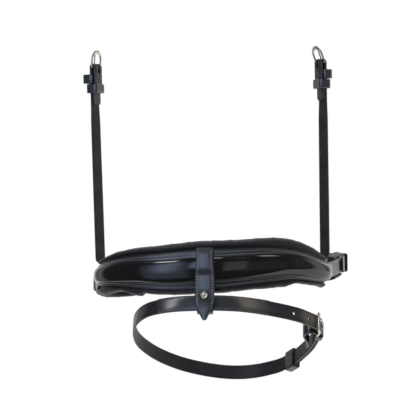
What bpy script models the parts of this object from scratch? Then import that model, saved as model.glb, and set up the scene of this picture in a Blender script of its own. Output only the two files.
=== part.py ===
"""Black leather flash noseband: padded nosepiece, two hangers, flash strap and rear closure.

The frame is +Z up, with the front of the nose towards -Y and the buckle side towards +X.
The origin lies midway between the bars of the two hanger buckles, which carry the noseband.
"""

import math

import bmesh
import bpy
import numpy as np
from mathutils import Matrix, Vector

# Clearances shared by every piece
GAP = 0.0003
RUN = 0.0006
OVERRUN = 0.002
FINE_STATIONS = 900
SHORT_STEP = 0.0012
CHORD_ERROR = 0.00008

# Length of the hangers, and how far the nosepiece's ring and the flash strap lie below their feet
HANGER_FOOT = 0.1910
RING_DROP = 0.0202
FLASH_DROP = 0.0257

# Ring that the noseband follows round the nose and jaw, through the middle of the base leather
NOSE_HALF_WIDTH = 0.1155
NOSE_DEPTH = 0.072
JAW_HALF_WIDTH = 0.1255
JAW_DEPTH = 0.088
RING_LEVEL = -HANGER_FOOT - RING_DROP
RING_PITCH = 0.0082
RING_ROLL = 0.0013
JAW_FALL = 0.0075
JAW_RISE = 0.0068
NOSE_ANGLES = 13
# Places behind the hangers as shares of the jaw's half width and depth, right side going back
JAW_SHARES = (
    (0.970, 0.284), (1.0, 0.545), (0.984, 0.733), (0.912, 0.875), (0.765, 0.955), (0.52, 0.993), (0.26, 1.0),
)
# Slow wave of the nosepiece along its length, as shares of the hangers' place and of the rise
WAVE_RISE = 0.0033
WAVE_SHARES = (
    (-1.05, 0.0), (-0.62, 0.33), (-0.25, -0.3), (0.02, 0.0), (0.54, 1.0), (0.87, -0.85), (1.05, 0.0),
)

# Base leather
BASE_THICKNESS = 0.0026
BASE_HALF_FRONT = 0.0186
BASE_HALF_WING = 0.0078
BASE_SINK = 0.0015
BASE_LEFT_END = 0.226
BASE_RIGHT_END = 0.222
HANGER_ARC = 0.1493

# Patent panel and the foam under it
PANEL_HALF_FRONT = 0.0116
PANEL_HALF_WING = 0.0066
PANEL_RISE = 0.0041
PANEL_SKIN = 0.0011
PANEL_FLANGE = 0.0014
PANEL_END = 0.149
FILLER_END = 0.143
PANEL_SHARES = (-1.0, -0.93, -0.72, -0.38, 0.0, 0.38, 0.72, 0.93, 1.0)

# Padded lining
LINING_TOP_FRONT = 0.0256
LINING_BOTTOM_FRONT = 0.0254
LINING_TOP_WING = 0.0123
LINING_BOTTOM_WING = 0.0123
LINING_THICKNESS = 0.0080
LINING_PUFF = 0.0020
LINING_LEFT_END = 0.263
LINING_RIGHT_END = 0.207
LINING_ROUND = 0.006
# Places where the soft rolls swell up or sag, as shares of the hangers' place and of the amount
LINING_SWELL = 0.0036
LINING_SAG = 0.0035
SWELL_SHARES = ((0.2, 0.0), (0.54, 0.76), (0.80, 0.74), (1.02, 0.0))
SAG_SHARES = (
    (-1.04, 0.0), (-0.86, 1.55), (-0.62, 0.15), (-0.50, 0.85), (-0.46, 0.85), (-0.425, 0.0),
    (0.25, 0.0), (0.44, 0.45), (0.53, 0.66), (0.66, -0.28), (0.80, -0.25), (0.93, 0.54), (1.08, 0.0),
)
POCKET_DEPTH = 0.0040
POCKET_HALF = 0.0095
POCKET_EASE = 0.0065

# Hangers, from the buckle bar down to the fold above the nosepiece
HANGER_WIDTH = 0.0126
HANGER_PLY = 0.0028
HANGER_BAR_X_LEFT = 0.1140
HANGER_BAR_X_RIGHT = 0.1121
HANGER_BAR_LEVEL_LEFT = -0.0018
HANGER_BAR_LEVEL_RIGHT = -0.0038
HANGER_STEP = 0.0245
HANGER_LEAN = math.radians(0.75)
HANGER_TWIST_LEFT = math.radians(24.0)
HANGER_TWIST_RIGHT = math.radians(35.0)
# Further twist down the strap: (height below the bar, angle)
TWIST_GROWTH = ((-0.150, math.radians(10.0)), (-0.060, math.radians(7.0)), (-0.036, 0.0))
TURN_BACK = 0.0374
TURN_BACK_SKIVED = 0.0012
TURN_BACK_SHARE = 0.36
TURN_BACK_END_SHARE = 0.72
TURN_BACK_EASE = 0.0214
TAIL_TOP_GAP = 0.0004
TAIL_DEPTH = 0.0255
TAIL_LEAD = 0.0012
TAIL_TWIST_END = 0.0072
TAIL_INSET = 0.0034

# Hanger buckles
BAR_RADIUS = 0.0008
FRAME_ARM = 0.00095
FRAME_HALF_DEPTH = 0.0011
FRAME_CROWN = 0.0021
FRAME_HEIGHT = 0.0176
FRAME_EASE = 0.00045
FRAME_TILT_LEFT = math.radians(8.0)
FRAME_TILT_RIGHT = math.radians(22.0)
TONGUE_HALF = 0.0007
TONGUE_HOOK_HALF = 0.0010
TONGUE_HOOK_WIDE = 0.00125
SLOT_HALF = 0.0019
SLOT_BELOW = 0.0060

# Hanger keepers
KEEPER_HEIGHT = 0.0090
KEEPER_THICKNESS = 0.0014
KEEPER_TOP = 0.0069
KEEPER_ROOM_LEFT = 0.0062
KEEPER_ROOM_RIGHT = 0.0044
KEEPER_TUCK = 0.0030
CHAPE_LAP = KEEPER_TOP + KEEPER_HEIGHT / 2
RUNNER_TOP = 0.0168
RUNNER_ROOM = 0.0020

# Rear closure
CHIN_WIDTH = 0.015
CHIN_PLY = 0.0022
CHIN_BILLET = 0.0024
CHIN_BAR_ARC = 0.250
CHIN_BAR_RADIUS = 0.0011
CHIN_FRAME_REACH = 0.0165
CHIN_OUTER_PLY = 0.060
CHIN_INNER_PLY = 0.0410
CHIN_FIXED_AT = 0.0325
CHIN_RUNNER_AT = 0.0135
CHIN_TAIL = 0.0375
CHIN_LAP = 0.200
CHIN_LAP_END = 0.229
CHIN_HOLE_STEP = 0.020
CHIN_HOLES = 3

# Flash strap ring
FLASH_WIDTH = 0.0152
FLASH_PLY = 0.0021
FLASH_FACING = 0.0013
FLASH_Y = -0.081
FLASH_Z = RING_LEVEL - FLASH_DROP
FLASH_TILT = math.radians(28.0)
FLASH_SLING_TILT = math.radians(20.0)
FLASH_UNTWIST = 0.040
FLASH_REACH = 0.110
FLASH_DEPTH = 0.170
FACING_LEFT = 0.047
FACING_RIGHT = 0.062
# Places round the flash ring as shares of its reach and depth, going to the buckle side
FLASH_SHARES = (
    (0.000, 0.000), (0.273, 0.021), (0.545, 0.086), (0.782, 0.175), (0.900, 0.253), (0.949, 0.306),
    (0.932, 0.376), (0.896, 0.465), (0.845, 0.565), (0.755, 0.685), (0.650, 0.800), (0.491, 0.917),
    (0.309, 0.978), (0.109, 0.992), (-0.109, 0.952), (-0.345, 0.857), (-0.527, 0.727), (-0.636, 0.597),
    (-0.695, 0.474), (-0.700, 0.341), (-0.664, 0.218), (-0.582, 0.118), (-0.464, 0.053), (-0.264, 0.011),
)
FLASH_BAR_ARC = 0.131
FLASH_BAR_RADIUS = 0.0009
FLASH_FRAME_REACH = 0.0135
FLASH_TURN_BACK = 0.034
FLASH_FIXED_AT = 0.0062
FLASH_RUNNER_AT = 0.0823
FLASH_TAIL = 0.0790
FLASH_HOLE_STEP = 0.0185
FLASH_HOLES = 2
# The loose turn-back bows inward behind the buckle: (reach share, offset share) of its length and bow
FLASH_BOW = 0.0112
BOW_SHARES = (
    (-0.060, 0.10), (-0.045, 0.42), (0.01, 0.80), (0.12, 1.0), (0.27, 0.96), (0.47, 0.62), (0.68, 0.18),
)

# Small strap fittings
FRAME_ROD = 0.0012
FRAME_CORNER = 0.0022
FRAME_BOW = 0.0008
TONGUE_CLIMB = 1.15
LOOP_WIDTH = 0.0080
LOOP_THICKNESS = 0.0014
FLASH_LOOP_WIDTH = 0.0135
FLASH_SLACK = 0.0013
HOLE_RADIUS = 0.0020
HOLE_STRETCH_SHARE = 1.7
KEEPER_EASE_SHARE = 0.6
UNDER_RUN = 0.0008

# Tab, sling and stud
TAB_TOP = 0.0205
TAB_THICKNESS = 0.0030
TAB_HALF_TOP = 0.0082
TAB_HALF_LOW = 0.0094
TAB_WIDEST = 0.0170
TAB_TAPER = 0.0335
TAB_LENGTH = 0.0735
TAB_TIP_HALF = 0.0012
TAB_HOLE_RADIUS = 0.0046
SLING_HALF = 0.0075
SLING_THICKNESS = 0.0018
SLING_TOP = 0.0180
SLING_BACK_ROOM = 0.0026
SLING_FRONT_ROOM = 0.0042
SLING_DROP = 0.0005
SLING_BELOW = FLASH_WIDTH / 2 + SLING_DROP
SLING_FRONT_TOP = 0.0095
STUD_HEIGHT = 0.0040
STUD_BALL = 0.0037
STUD_NECK = 0.0019
STUD_NECK_LENGTH = 0.0042
STUD_DISC = 0.0038
STUD_DISC_THICKNESS = 0.0008
STUD_POST = 0.0012

MATERIALS = {
    "black_leather": ((0.020, 0.020, 0.024), 0.42, 0.0),
    "patent_leather": ((0.008, 0.008, 0.010), 0.06, 0.0),
    "soft_lining": ((0.026, 0.026, 0.030), 0.55, 0.0),
    "foam": ((0.20, 0.20, 0.20), 0.9, 0.0),
    "silver_metal": ((0.80, 0.78, 0.74), 0.18, 1.0),
}


def clear_scene():
    """Takes every object out of the opened scene."""
    for obj in list(bpy.data.objects):
        bpy.data.objects.remove(obj, do_unlink=True)


def make_material(name):
    """A Principled material of the named finish, made once."""
    colour, roughness, metallic = MATERIALS[name]
    material = bpy.data.materials.new(name)
    material.use_nodes = True
    shader = material.node_tree.nodes["Principled BSDF"]
    shader.inputs["Base Color"].default_value = (*colour, 1.0)
    shader.inputs["Roughness"].default_value = roughness
    shader.inputs["Metallic"].default_value = metallic
    return material


def unit(vectors):
    """Rows scaled to length 1."""
    return vectors / np.linalg.norm(vectors, axis=-1, keepdims=True)


def smooth_ring(points, steps=24):
    """A closed Catmull-Rom curve through the points, as dense rows."""
    points = np.array(points, float)
    before, after, beyond = (np.roll(points, -k, axis=0) for k in (-1, 1, 2))
    share = np.linspace(0.0, 1.0, steps, endpoint=False)[None, :, None]
    a, b, c, d = (rows[:, None, :] for rows in (before, points, after, beyond))
    curve = 2 * b + (c - a) * share + (2 * a - 5 * b + 4 * c - d) * share**2
    curve = curve + (3 * b - a - 3 * c + d) * share**3
    return (curve / 2).reshape(-1, points.shape[1])


class Ring:
    """A closed route measured by its arc length from its first point."""

    def __init__(self, points, up):
        dense = smooth_ring(points)
        steps = np.linalg.norm(np.diff(dense, axis=0, append=dense[:1]), axis=1)
        self.arcs = np.concatenate([[0.0], np.cumsum(steps)])
        self.points = np.concatenate([dense, dense[:1]])
        self.length = self.arcs[-1]
        self.up = up

    def spot(self, arc):
        """The points at these arc lengths."""
        wrapped = np.mod(np.asarray(arc, float), self.length)
        return np.stack([np.interp(wrapped, self.arcs, self.points[:, k]) for k in range(3)], -1)

    def axes(self, arc):
        """Tangent, outward normal and width direction at these arc lengths."""
        reach = self.length / len(self.points)
        arc = np.asarray(arc, float)
        tangent = unit(self.spot(arc + reach) - self.spot(arc - reach))
        up = self.up(arc)
        outward = unit(np.cross(tangent, up))
        return tangent, outward, np.cross(outward, tangent)

    def mark_stations(self):
        """Arc lengths round the whole route, closer together where it bends more."""
        fine = np.linspace(-self.length / 2, self.length / 2, FINE_STATIONS)
        step = self.length / (FINE_STATIONS - 1)
        turning = np.linalg.norm(np.gradient(self.axes(fine)[0], step, axis=0), axis=1)
        density = np.maximum(1 / FRONT_STEP, np.sqrt(turning / CHORD_ERROR / 8))
        counted = np.concatenate([[0.0], np.cumsum((density[1:] + density[:-1]) * step / 2)])
        count = max(2, int(round(counted[-1])) + 1)
        marks = np.interp(np.linspace(0.0, counted[-1], count), counted, fine)[:-1]
        self.marks = np.concatenate([marks + self.length * turn for turn in (-1, 0, 1)])

    def stations(self, start, end):
        """The marked arc lengths between two places, and the places themselves."""
        low, high = min(start, end), max(start, end)
        inner = self.marks[(self.marks > low + SHORT_STEP) & (self.marks < high - SHORT_STEP)]
        arcs = np.concatenate([[low], inner, [high]])
        return arcs if start < end else arcs[::-1]

    def place(self, arc, out=0.0, high=0.0):
        """Points at these arcs, moved outward and along the width."""
        _, outward, width = self.axes(arc)
        out = np.asarray(out, float)[..., None]
        high = np.asarray(high, float)[..., None]
        return self.spot(arc) + outward * out + width * high


def add_mesh(name, material, points, faces, smooth=True):
    """An object of the given points and faces with its normals facing out."""
    mesh = bpy.data.meshes.new(name)
    mesh.from_pydata([tuple(p) for p in points], [], faces)
    work = bmesh.new()
    work.from_mesh(mesh)
    bmesh.ops.recalc_face_normals(work, faces=work.faces)
    work.to_mesh(mesh)
    work.free()
    if smooth:
        mesh.shade_smooth()
        mesh.set_sharp_from_angle(angle=SHARP_ANGLE)
    obj = bpy.data.objects.new(name, mesh)
    mesh.materials.append(make_material(material))
    bpy.context.scene.collection.objects.link(obj)
    return obj


SHARP_ANGLE = math.radians(35.0)


def loft(name, material, rows, closed=False):
    """A solid through rings of points: rows has one ring for each station."""
    rows = np.asarray(rows)
    stations, around = rows.shape[:2]
    faces = []
    for i in range(stations if closed else stations - 1):
        a, b = i * around, (i + 1) % stations * around
        for j in range(around):
            k = (j + 1) % around
            faces.append((a + j, a + k, b + k, b + j))
    if not closed:
        faces.append(tuple(range(around))[::-1])
        faces.append(tuple(range((stations - 1) * around, stations * around)))
    return add_mesh(name, material, rows.reshape(-1, 3), faces)


def eased(value, knots):
    """A value read from (place, amount) knots, with level ends at each knot."""
    places, amounts = (np.array(column, float) for column in zip(*knots))
    order = np.argsort(places)
    places, amounts = places[order], amounts[order]
    value = np.clip(value, places[0], places[-1])
    left = np.clip(np.searchsorted(places, value, side="right") - 1, 0, len(places) - 2)
    share = (value - places[left]) / (places[left + 1] - places[left])
    share = share * share * (3 - 2 * share)
    return amounts[left] + (amounts[left + 1] - amounts[left]) * share


def strap_rows(centres, widths, half_width, half_thick, closed=False, edge_share=0.35):
    """Rings of a flat strap with eased edges, carried along its centres."""
    centres = np.asarray(centres, float)
    if closed:
        along = np.roll(centres, -1, axis=0) - np.roll(centres, 1, axis=0)
    else:
        along = np.gradient(centres, axis=0)
    along = unit(along)
    widths = np.broadcast_to(widths, centres.shape)
    outward = unit(np.cross(along, widths))
    widths = np.cross(outward, along)
    half_width = np.broadcast_to(half_width, len(centres))[:, None, None]
    half_thick = np.broadcast_to(half_thick, len(centres))[:, None, None]
    ease = half_thick * 2 * edge_share
    signs = ((1, -1), (1, 1), (-1, 1), (-1, -1))
    ring = []
    for out, high in signs:
        corner_out, corner_high = out * half_thick, high * half_width
        pulled = (corner_out - out * ease, corner_high), (corner_out, corner_high - high * ease)
        ring.extend(pulled if out * high < 0 else pulled[::-1])
    parts = [centres[:, None, :] + outward[:, None, :] * o + widths[:, None, :] * h for o, h in ring]
    return np.concatenate(parts, axis=1)


def rod_rows(centres, side, half_side, half_cross, around=8, closed=False):
    """Rings of an oval rod carried along its centres; side is one of its cross directions."""
    centres = np.asarray(centres, float)
    if closed:
        along = np.roll(centres, -1, axis=0) - np.roll(centres, 1, axis=0)
    else:
        along = np.gradient(centres, axis=0)
    along = unit(along)
    cross = unit(np.cross(along, np.broadcast_to(side, centres.shape)))
    side = np.cross(cross, along)
    turn = 2 * math.pi * (np.arange(around) + 0.5) / around
    half_side = np.broadcast_to(half_side, len(centres))[:, None, None]
    half_cross = np.broadcast_to(half_cross, len(centres))[:, None, None]
    sweep_side = side[:, None, :] * np.cos(turn)[None, :, None] * half_side
    sweep_cross = cross[:, None, :] * np.sin(turn)[None, :, None] * half_cross
    return centres[:, None, :] + sweep_side + sweep_cross


def cut(obj, cutter, operation="DIFFERENCE"):
    """Takes the cutter's shape out of the object."""
    cutter.hide_render = True
    cutter.display_type = "WIRE"
    modifier = obj.modifiers.new(operation.title(), "BOOLEAN")
    modifier.operation = operation
    modifier.object = cutter
    modifier.solver = "EXACT"


def box_cutter(name, centre, axes, halves):
    """A box whose three axes and half sizes are given."""
    work = bmesh.new()
    bmesh.ops.create_cube(work, size=2.0)
    turn = Matrix([list(axis) for axis in axes]).transposed().to_4x4()
    scale = Matrix.Diagonal((*halves, 1.0))
    bmesh.ops.transform(work, matrix=Matrix.Translation(Vector(centre)) @ turn @ scale, verts=work.verts)
    return finish_cutter(name, work)


def finish_cutter(name, work):
    """The cutter object of a bmesh, with its faces turned out."""
    bmesh.ops.recalc_face_normals(work, faces=work.faces)
    mesh = bpy.data.meshes.new(name)
    work.to_mesh(mesh)
    work.free()
    obj = bpy.data.objects.new(name, mesh)
    bpy.context.scene.collection.objects.link(obj)
    obj.hide_render = True
    obj.display_type = "WIRE"
    return obj


def round_cutter(name, centre, axis, radius, half_length, stretch_axis=None, segments=12):
    """A cylinder along the axis, made longer along stretch_axis if one is given."""
    axis = Vector(axis).normalized()
    first = Vector(stretch_axis) if stretch_axis is not None else axis.orthogonal()
    first = (first - axis * first.dot(axis)).normalized()
    second = axis.cross(first)
    work = bmesh.new()
    bmesh.ops.create_cone(
        work, cap_ends=True, segments=segments, radius1=1.0, radius2=1.0, depth=2.0
    )
    long_radius = radius * (HOLE_STRETCH_SHARE if stretch_axis is not None else 1.0)
    turn = Matrix([list(first), list(second), list(axis)]).transposed().to_4x4()
    scale = Matrix.Diagonal((long_radius, radius, half_length, 1.0))
    bmesh.ops.transform(work, matrix=Matrix.Translation(Vector(centre)) @ turn @ scale, verts=work.verts)
    return finish_cutter(name, work)


def set_origin(obj, point):
    """Moves the object's origin to the point and leaves its shape where it is."""
    offset = Matrix.Translation(Vector(point))
    obj.data.transform(offset.inverted())
    obj.matrix_world = offset


# The ring of the noseband


def ring_height(across, along):
    """Height of the ring at a place, which falls to the jaw and rises to the buckle side."""
    level = RING_LEVEL - RING_PITCH * along / NOSE_DEPTH + RING_ROLL * across / NOSE_HALF_WIDTH
    behind = max(along, 0.0) / JAW_DEPTH
    side = across / JAW_HALF_WIDTH
    return level + behind * (JAW_RISE * (1 + side) - JAW_FALL * (1 - side) / 2) + behind * JAW_RISE / 2


def noseband_ring():
    """The noseband's route: a half ellipse over the nose and a rounder curve under the jaw."""
    plan = []
    for turn in np.linspace(0.0, math.pi / 2, NOSE_ANGLES // 2 + 1):
        plan.append((NOSE_HALF_WIDTH * math.sin(turn), -NOSE_DEPTH * math.cos(turn)))
    plan.extend((JAW_HALF_WIDTH * x, JAW_DEPTH * y) for x, y in JAW_SHARES)
    left = [(-x, y) for x, y in plan[:0:-1]]
    plan = plan + [(0.0, JAW_DEPTH)] + left
    points = [(x, y, ring_height(x, y)) for x, y in plan]
    ring = Ring(points, lambda arc: np.broadcast_to([0.0, 0.0, 1.0], (*np.shape(arc), 3)))
    signed = np.mod(ring.arcs + ring.length / 2, ring.length) - ring.length / 2
    ring.points[:, 2] += WAVE_RISE * eased(signed / HANGER_ARC, WAVE_SHARES)
    ring.mark_stations()
    return ring


def taper(arc, front, wing):
    """A height that falls from the front to the hangers and stays level beyond them."""
    share = np.clip(np.abs(arc) / HANGER_ARC, 0.0, 1.0)
    return wing + (front - wing) * np.cos(share * math.pi / 2)


def sink(arc):
    """How far the leather's middle lies under the ring, which ends at the hangers."""
    return taper(arc, BASE_SINK, 0.0)


def arcs_between(start, end, step):
    """Arc lengths from start to end at about the given step."""
    count = max(2, int(round(abs(end - start) / step)) + 1)
    return np.linspace(start, end, count)


FRONT_STEP = 0.0085
WING_STEP = 0.0070
FINE_STEP = 0.0030


def base_half(arc):
    return taper(arc, BASE_HALF_FRONT, BASE_HALF_WING)


def panel_half(arc):
    return taper(arc, PANEL_HALF_FRONT, PANEL_HALF_WING)


def build_nose_leather(ring):
    """The shaped base strap, from the billet's lap round the front to the buckle side."""
    arcs = ring.stations(-BASE_LEFT_END, BASE_RIGHT_END)
    widths = ring.axes(arcs)[2]
    rows = strap_rows(
        ring.place(arcs, 0.0, -sink(arcs)), widths, base_half(arcs), BASE_THICKNESS / 2, edge_share=0.25
    )
    return loft("nose_leather", "black_leather", rows)


PANEL_BACK = BASE_THICKNESS / 2 + GAP


def dome(share, rise):
    """Rise of the padded panel at a share of its half height."""
    return rise * np.maximum(1 - np.abs(share) ** 2.4, 0.0) ** 0.75


def build_panel(ring):
    """Patent skin: a domed strip with flat edges, hollow behind for the foam."""
    arcs = ring.stations(-PANEL_END, PANEL_END)
    fade = eased(np.abs(arcs), ((0.0, 1.0), (PANEL_END * 0.9, 1.0), (PANEL_END, 0.35)))
    half, middle = panel_half(arcs), -sink(arcs)
    rings = []
    for share in PANEL_SHARES:
        out = PANEL_BACK + PANEL_SKIN + dome(share, PANEL_RISE - PANEL_SKIN) * fade
        rings.append(ring.place(arcs, out, middle + half * share))
    inner_half = half - PANEL_FLANGE
    for share in PANEL_SHARES[::-2]:
        out = PANEL_BACK + dome(share, PANEL_RISE - PANEL_SKIN) * fade
        rings.append(ring.place(arcs, out, middle + inner_half * share))
    for side in (-1, 1):
        rings.append(ring.place(arcs, PANEL_BACK, middle + half * side))
    rings.insert(len(PANEL_SHARES), rings.pop())
    return loft("patent_panel", "patent_leather", np.stack(rings, axis=1))


def build_filler(ring):
    """Foam strip that raises the patent skin."""
    arcs = ring.stations(-FILLER_END, FILLER_END)
    fade = eased(np.abs(arcs), ((0.0, 1.0), (PANEL_END * 0.9, 1.0), (PANEL_END, 0.35)))
    half = panel_half(arcs) - PANEL_FLANGE - GAP * 4
    middle = -sink(arcs)
    rings = []
    for share in (-0.94, -0.6, 0.0, 0.6, 0.94):
        out = PANEL_BACK - GAP * 2 + dome(share, PANEL_RISE - PANEL_SKIN) * fade * 0.86
        rings.append(ring.place(arcs, np.maximum(out, PANEL_BACK + GAP), middle + half * share))
    for side in (0.94, -0.94):
        rings.append(ring.place(arcs, PANEL_BACK, middle + half * side))
    return loft("panel_filler", "foam", np.stack(rings, axis=1))


def pocket(arc):
    """How far the lining gives way for a hanger's sewn tail."""
    off = np.abs(np.abs(arc) - HANGER_ARC)
    return eased(off, ((0.0, POCKET_DEPTH), (POCKET_HALF, POCKET_DEPTH), (POCKET_HALF + POCKET_EASE, 0.0)))


def lining_arcs(ring):
    """Stations of the lining, with more at its rounded ends."""
    inner = ring.stations(-LINING_LEFT_END + LINING_ROUND, LINING_RIGHT_END - LINING_ROUND)
    shares = np.array([0.0, 0.15, 0.45])
    left = -LINING_LEFT_END + LINING_ROUND * shares
    return np.concatenate([left, inner, (LINING_RIGHT_END - LINING_ROUND * shares)[::-1]])


def build_lining(ring):
    """Padded lining with rolled edges above and below the leather."""
    arcs = lining_arcs(ring)
    to_end = np.minimum(arcs + LINING_LEFT_END, LINING_RIGHT_END - arcs)
    rounding = np.sqrt(np.clip(1 - (1 - np.clip(to_end / LINING_ROUND, 0.0, 1.0)) ** 2, 0.09, 1.0))
    low, high = -sink(arcs) - base_half(arcs), -sink(arcs) + base_half(arcs)
    swell = LINING_SWELL * eased(arcs / HANGER_ARC, SWELL_SHARES)
    sag = LINING_SAG * eased(arcs / HANGER_ARC, SAG_SHARES)
    top = (taper(arcs, LINING_TOP_FRONT, LINING_TOP_WING) + swell) * rounding
    bottom = -(taper(arcs, LINING_BOTTOM_FRONT, LINING_BOTTOM_WING) + sag) * rounding
    low, high = np.maximum(low, bottom * 0.8), np.minimum(high, top * 0.8)
    face = -BASE_THICKNESS / 2 - GAP * (2 - rounding) - pocket(arcs)
    back = -BASE_THICKNESS / 2 - GAP - LINING_THICKNESS * (0.35 + 0.65 * rounding)
    puff = np.where(pocket(arcs) > 0.0, face, face + LINING_PUFF * rounding**10)
    deep = back - face
    middle = (high + low) / 2
    section = (
        (face, low), (face, high), (puff, high + (top - high) * 0.35), (puff, high + (top - high) * 0.7),
        (face + deep * 0.18, top * 0.985), (face + deep * 0.45, top), (face + deep * 0.78, top * 0.93),
        (face + deep * 0.96, top * 0.74), (back, middle), (face + deep * 0.96, bottom * 0.74),
        (face + deep * 0.78, bottom * 0.93), (face + deep * 0.45, bottom),
        (face + deep * 0.18, bottom * 0.985), (puff, low + (bottom - low) * 0.7),
        (puff, low + (bottom - low) * 0.35),
    )
    rows = np.stack([ring.place(arcs, out, at) for out, at in section], axis=1)
    return loft("nose_lining", "soft_lining", rows)


# Straps that close on a buckle


class Closure:
    """A buckle on a ring: its chape lies at positive reach from the bar, its frame at negative."""

    def __init__(self, ring, bar_arc, sense, width, ply, billet, bar_radius, inside, reach):
        self.ring, self.bar_arc, self.sense = ring, bar_arc, sense
        self.half, self.ply, self.billet = width / 2, ply, billet
        self.bar_radius, self.reach = bar_radius, reach
        self.fold = inside + ply / 2
        self.over = self.fold + ply / 2 + GAP + RUN / 4 + billet / 2
        self.far_out = UNDER_RUN + billet / 2 + GAP + FRAME_ROD
        self.tongue_out = self.far_out + FRAME_BOW + FRAME_ROD + GAP + TONGUE_HALF

    def spot(self, reach, out=0.0, high=0.0):
        """World points at a reach along the strap from the bar."""
        return self.ring.place(self.bar_arc + self.sense * np.asarray(reach, float), out, high)

    def axes(self, reach):
        """Chape direction, outward normal and width direction at a reach."""
        along, out, width = self.ring.axes(self.bar_arc + self.sense * reach)
        return along * self.sense, out, width

    def billet_out(self, reach):
        """How far out the billet runs: under the frame's far side, then over the folded chape."""
        far = -self.reach
        knots = (
            (far * 2, 0.0), (far * 1.35, UNDER_RUN * 0.4), (far * 0.97, UNDER_RUN),
            (-self.fold / 2, self.over), (self.reach, self.over),
        )
        return eased(reach, knots)

    def fold_route(self, outer_end, inner_end, outer_lead=(), steps=9):
        """Reach and outward offset along a chape folded round the bar, inner ply first."""
        inner = [(r, -self.fold) for r in arcs_between(inner_end, self.ply, FINE_STEP)]
        turns = np.linspace(-math.pi / 2, math.pi / 2, steps)
        bend = [(-self.fold * math.cos(t), self.fold * math.sin(t)) for t in turns]
        outer = [(r, self.fold) for r in arcs_between(self.ply, outer_end, FINE_STEP)]
        return inner + bend + outer + list(outer_lead)

    def bowed_route(self, length):
        """Reach and offset along a chape whose inner ply bows away from the bar and comes back."""
        inner = [(r, -self.fold) for r in arcs_between(length, length * 0.86, FINE_STEP)]
        bow = [(length * at, -self.fold - (FLASH_BOW - self.fold) * off) for at, off in BOW_SHARES[::-1]]
        turns = np.linspace(0.0, math.pi / 2, 5)
        bend = [(-self.fold * math.cos(t), self.fold * math.sin(t)) for t in turns]
        curve = rounded_route([(at, off, 0.0) for at, off in inner + bow + bend[:1]], 2)[:-1, :2]
        outer = [(r, self.fold) for r in arcs_between(self.ply, length * 0.8, FINE_STEP)]
        return [tuple(point) for point in curve] + bend + outer

    def frame(self, name):
        """Rounded frame whose bar lies in the fold and whose far side stands outward."""
        inner = self.half + RUN + FRAME_ROD
        corner = FRAME_CORNER
        corners = ((0.0, -inner, 0), (0.0, inner, 1), (-self.reach, inner, 2), (-self.reach, -inner, 3))
        path, rods = [], []
        for at, high, index in corners:
            toward = math.copysign(corner, high)
            inward = -corner if at == 0.0 else corner
            turns = np.linspace(0.0, math.pi / 2, 4)
            if index % 2:
                turns = turns[::-1]
            for turn in turns:
                bend_at = at + inward * (1 - math.sin(turn))
                bend_high = high - toward * (1 - math.cos(turn))
                path.append((bend_at, bend_high))
                slim = self.bar_radius if at == 0.0 and abs(bend_high) < inner - corner / 2 else FRAME_ROD
                rods.append(slim)
        ordered = np.array(path)
        bow = FRAME_BOW * (1 - (ordered[:, 1] / inner) ** 2)
        out = (self.far_out + bow) * ordered[:, 0] / -self.reach
        centres = self.spot(ordered[:, 0], out, ordered[:, 1])
        normals = self.axes(ordered[:, 0])[1]
        rows = rod_rows(centres, normals, np.array(rods), np.array(rods), closed=True)
        return loft(name, "silver_metal", rows, closed=True)

    def tongue(self, name):
        """Tongue hooked round the bar, through the billet's hole and over the frame's far side."""
        hook = self.bar_radius + GAP + TONGUE_HALF
        turns = np.radians(np.linspace(-215.0, 0.0, 9))
        route = [(-hook * math.sin(t), hook * math.cos(t)) for t in turns]
        tip = -self.reach - FRAME_ROD * 1.4
        for share in (0.3, 0.6, 0.87, 1.0):
            route.append((tip * share, hook + (self.tongue_out - hook) * min(share * TONGUE_CLIMB, 1.0)))
        route = np.array(route)
        centres = self.spot(route[:, 0], route[:, 1])
        thin = np.full(len(route), TONGUE_HALF)
        thin[0], thin[-1] = TONGUE_HALF * 0.8, TONGUE_HALF * 0.7
        width = self.axes(0.0)[2]
        return loft(name, "silver_metal", rod_rows(centres, width, thin * 1.15, thin, around=6))

    def loop(self, name, reach, long, low, high, slack=RUN):
        """A closed keeper round the strap, with its inner faces at the low and high offsets."""
        half_thick = LOOP_THICKNESS / 2
        side = self.half + slack + half_thick
        path = loop_path(side, low - half_thick, high + half_thick, LOOP_THICKNESS)
        grid = keeper_rows(path, long / 2, half_thick, closed=True)
        rows = self.spot(reach + grid[..., 0], grid[..., 1], grid[..., 2])
        return loft(name, "black_leather", rows, closed=True)

    def open_loop(self, name, reach, long, high):
        """A keeper over the outer side whose ends are sewn between the chape's plies."""
        half_thick = LOOP_THICKNESS / 2
        side = self.half + GAP + half_thick
        path = open_path(side, high + half_thick, KEEPER_TUCK, LOOP_THICKNESS)
        grid = keeper_rows(path, long / 2, half_thick, closed=False)
        return loft(name, "black_leather", self.spot(reach + grid[..., 0], grid[..., 1], grid[..., 2]))

    def bar_slot(self, obj, name):
        """Cuts the slot for the tongue through a folded chape."""
        along, out, width = self.axes(0.0)
        hook = self.bar_radius + GAP + TONGUE_HALF * 2
        back, front = hook + RUN * 3, -self.fold - self.ply / 2 - RUN / 2
        low, top = -self.fold - self.ply, self.fold + self.ply / 2 + GAP / 2
        centre = self.spot((back + front) / 2, (low + top) / 2)
        halves = ((back - front) / 2, (top - low) / 2, SLOT_HALF)
        cut(obj, box_cutter(name, centre, (along, out, width), halves))

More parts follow.
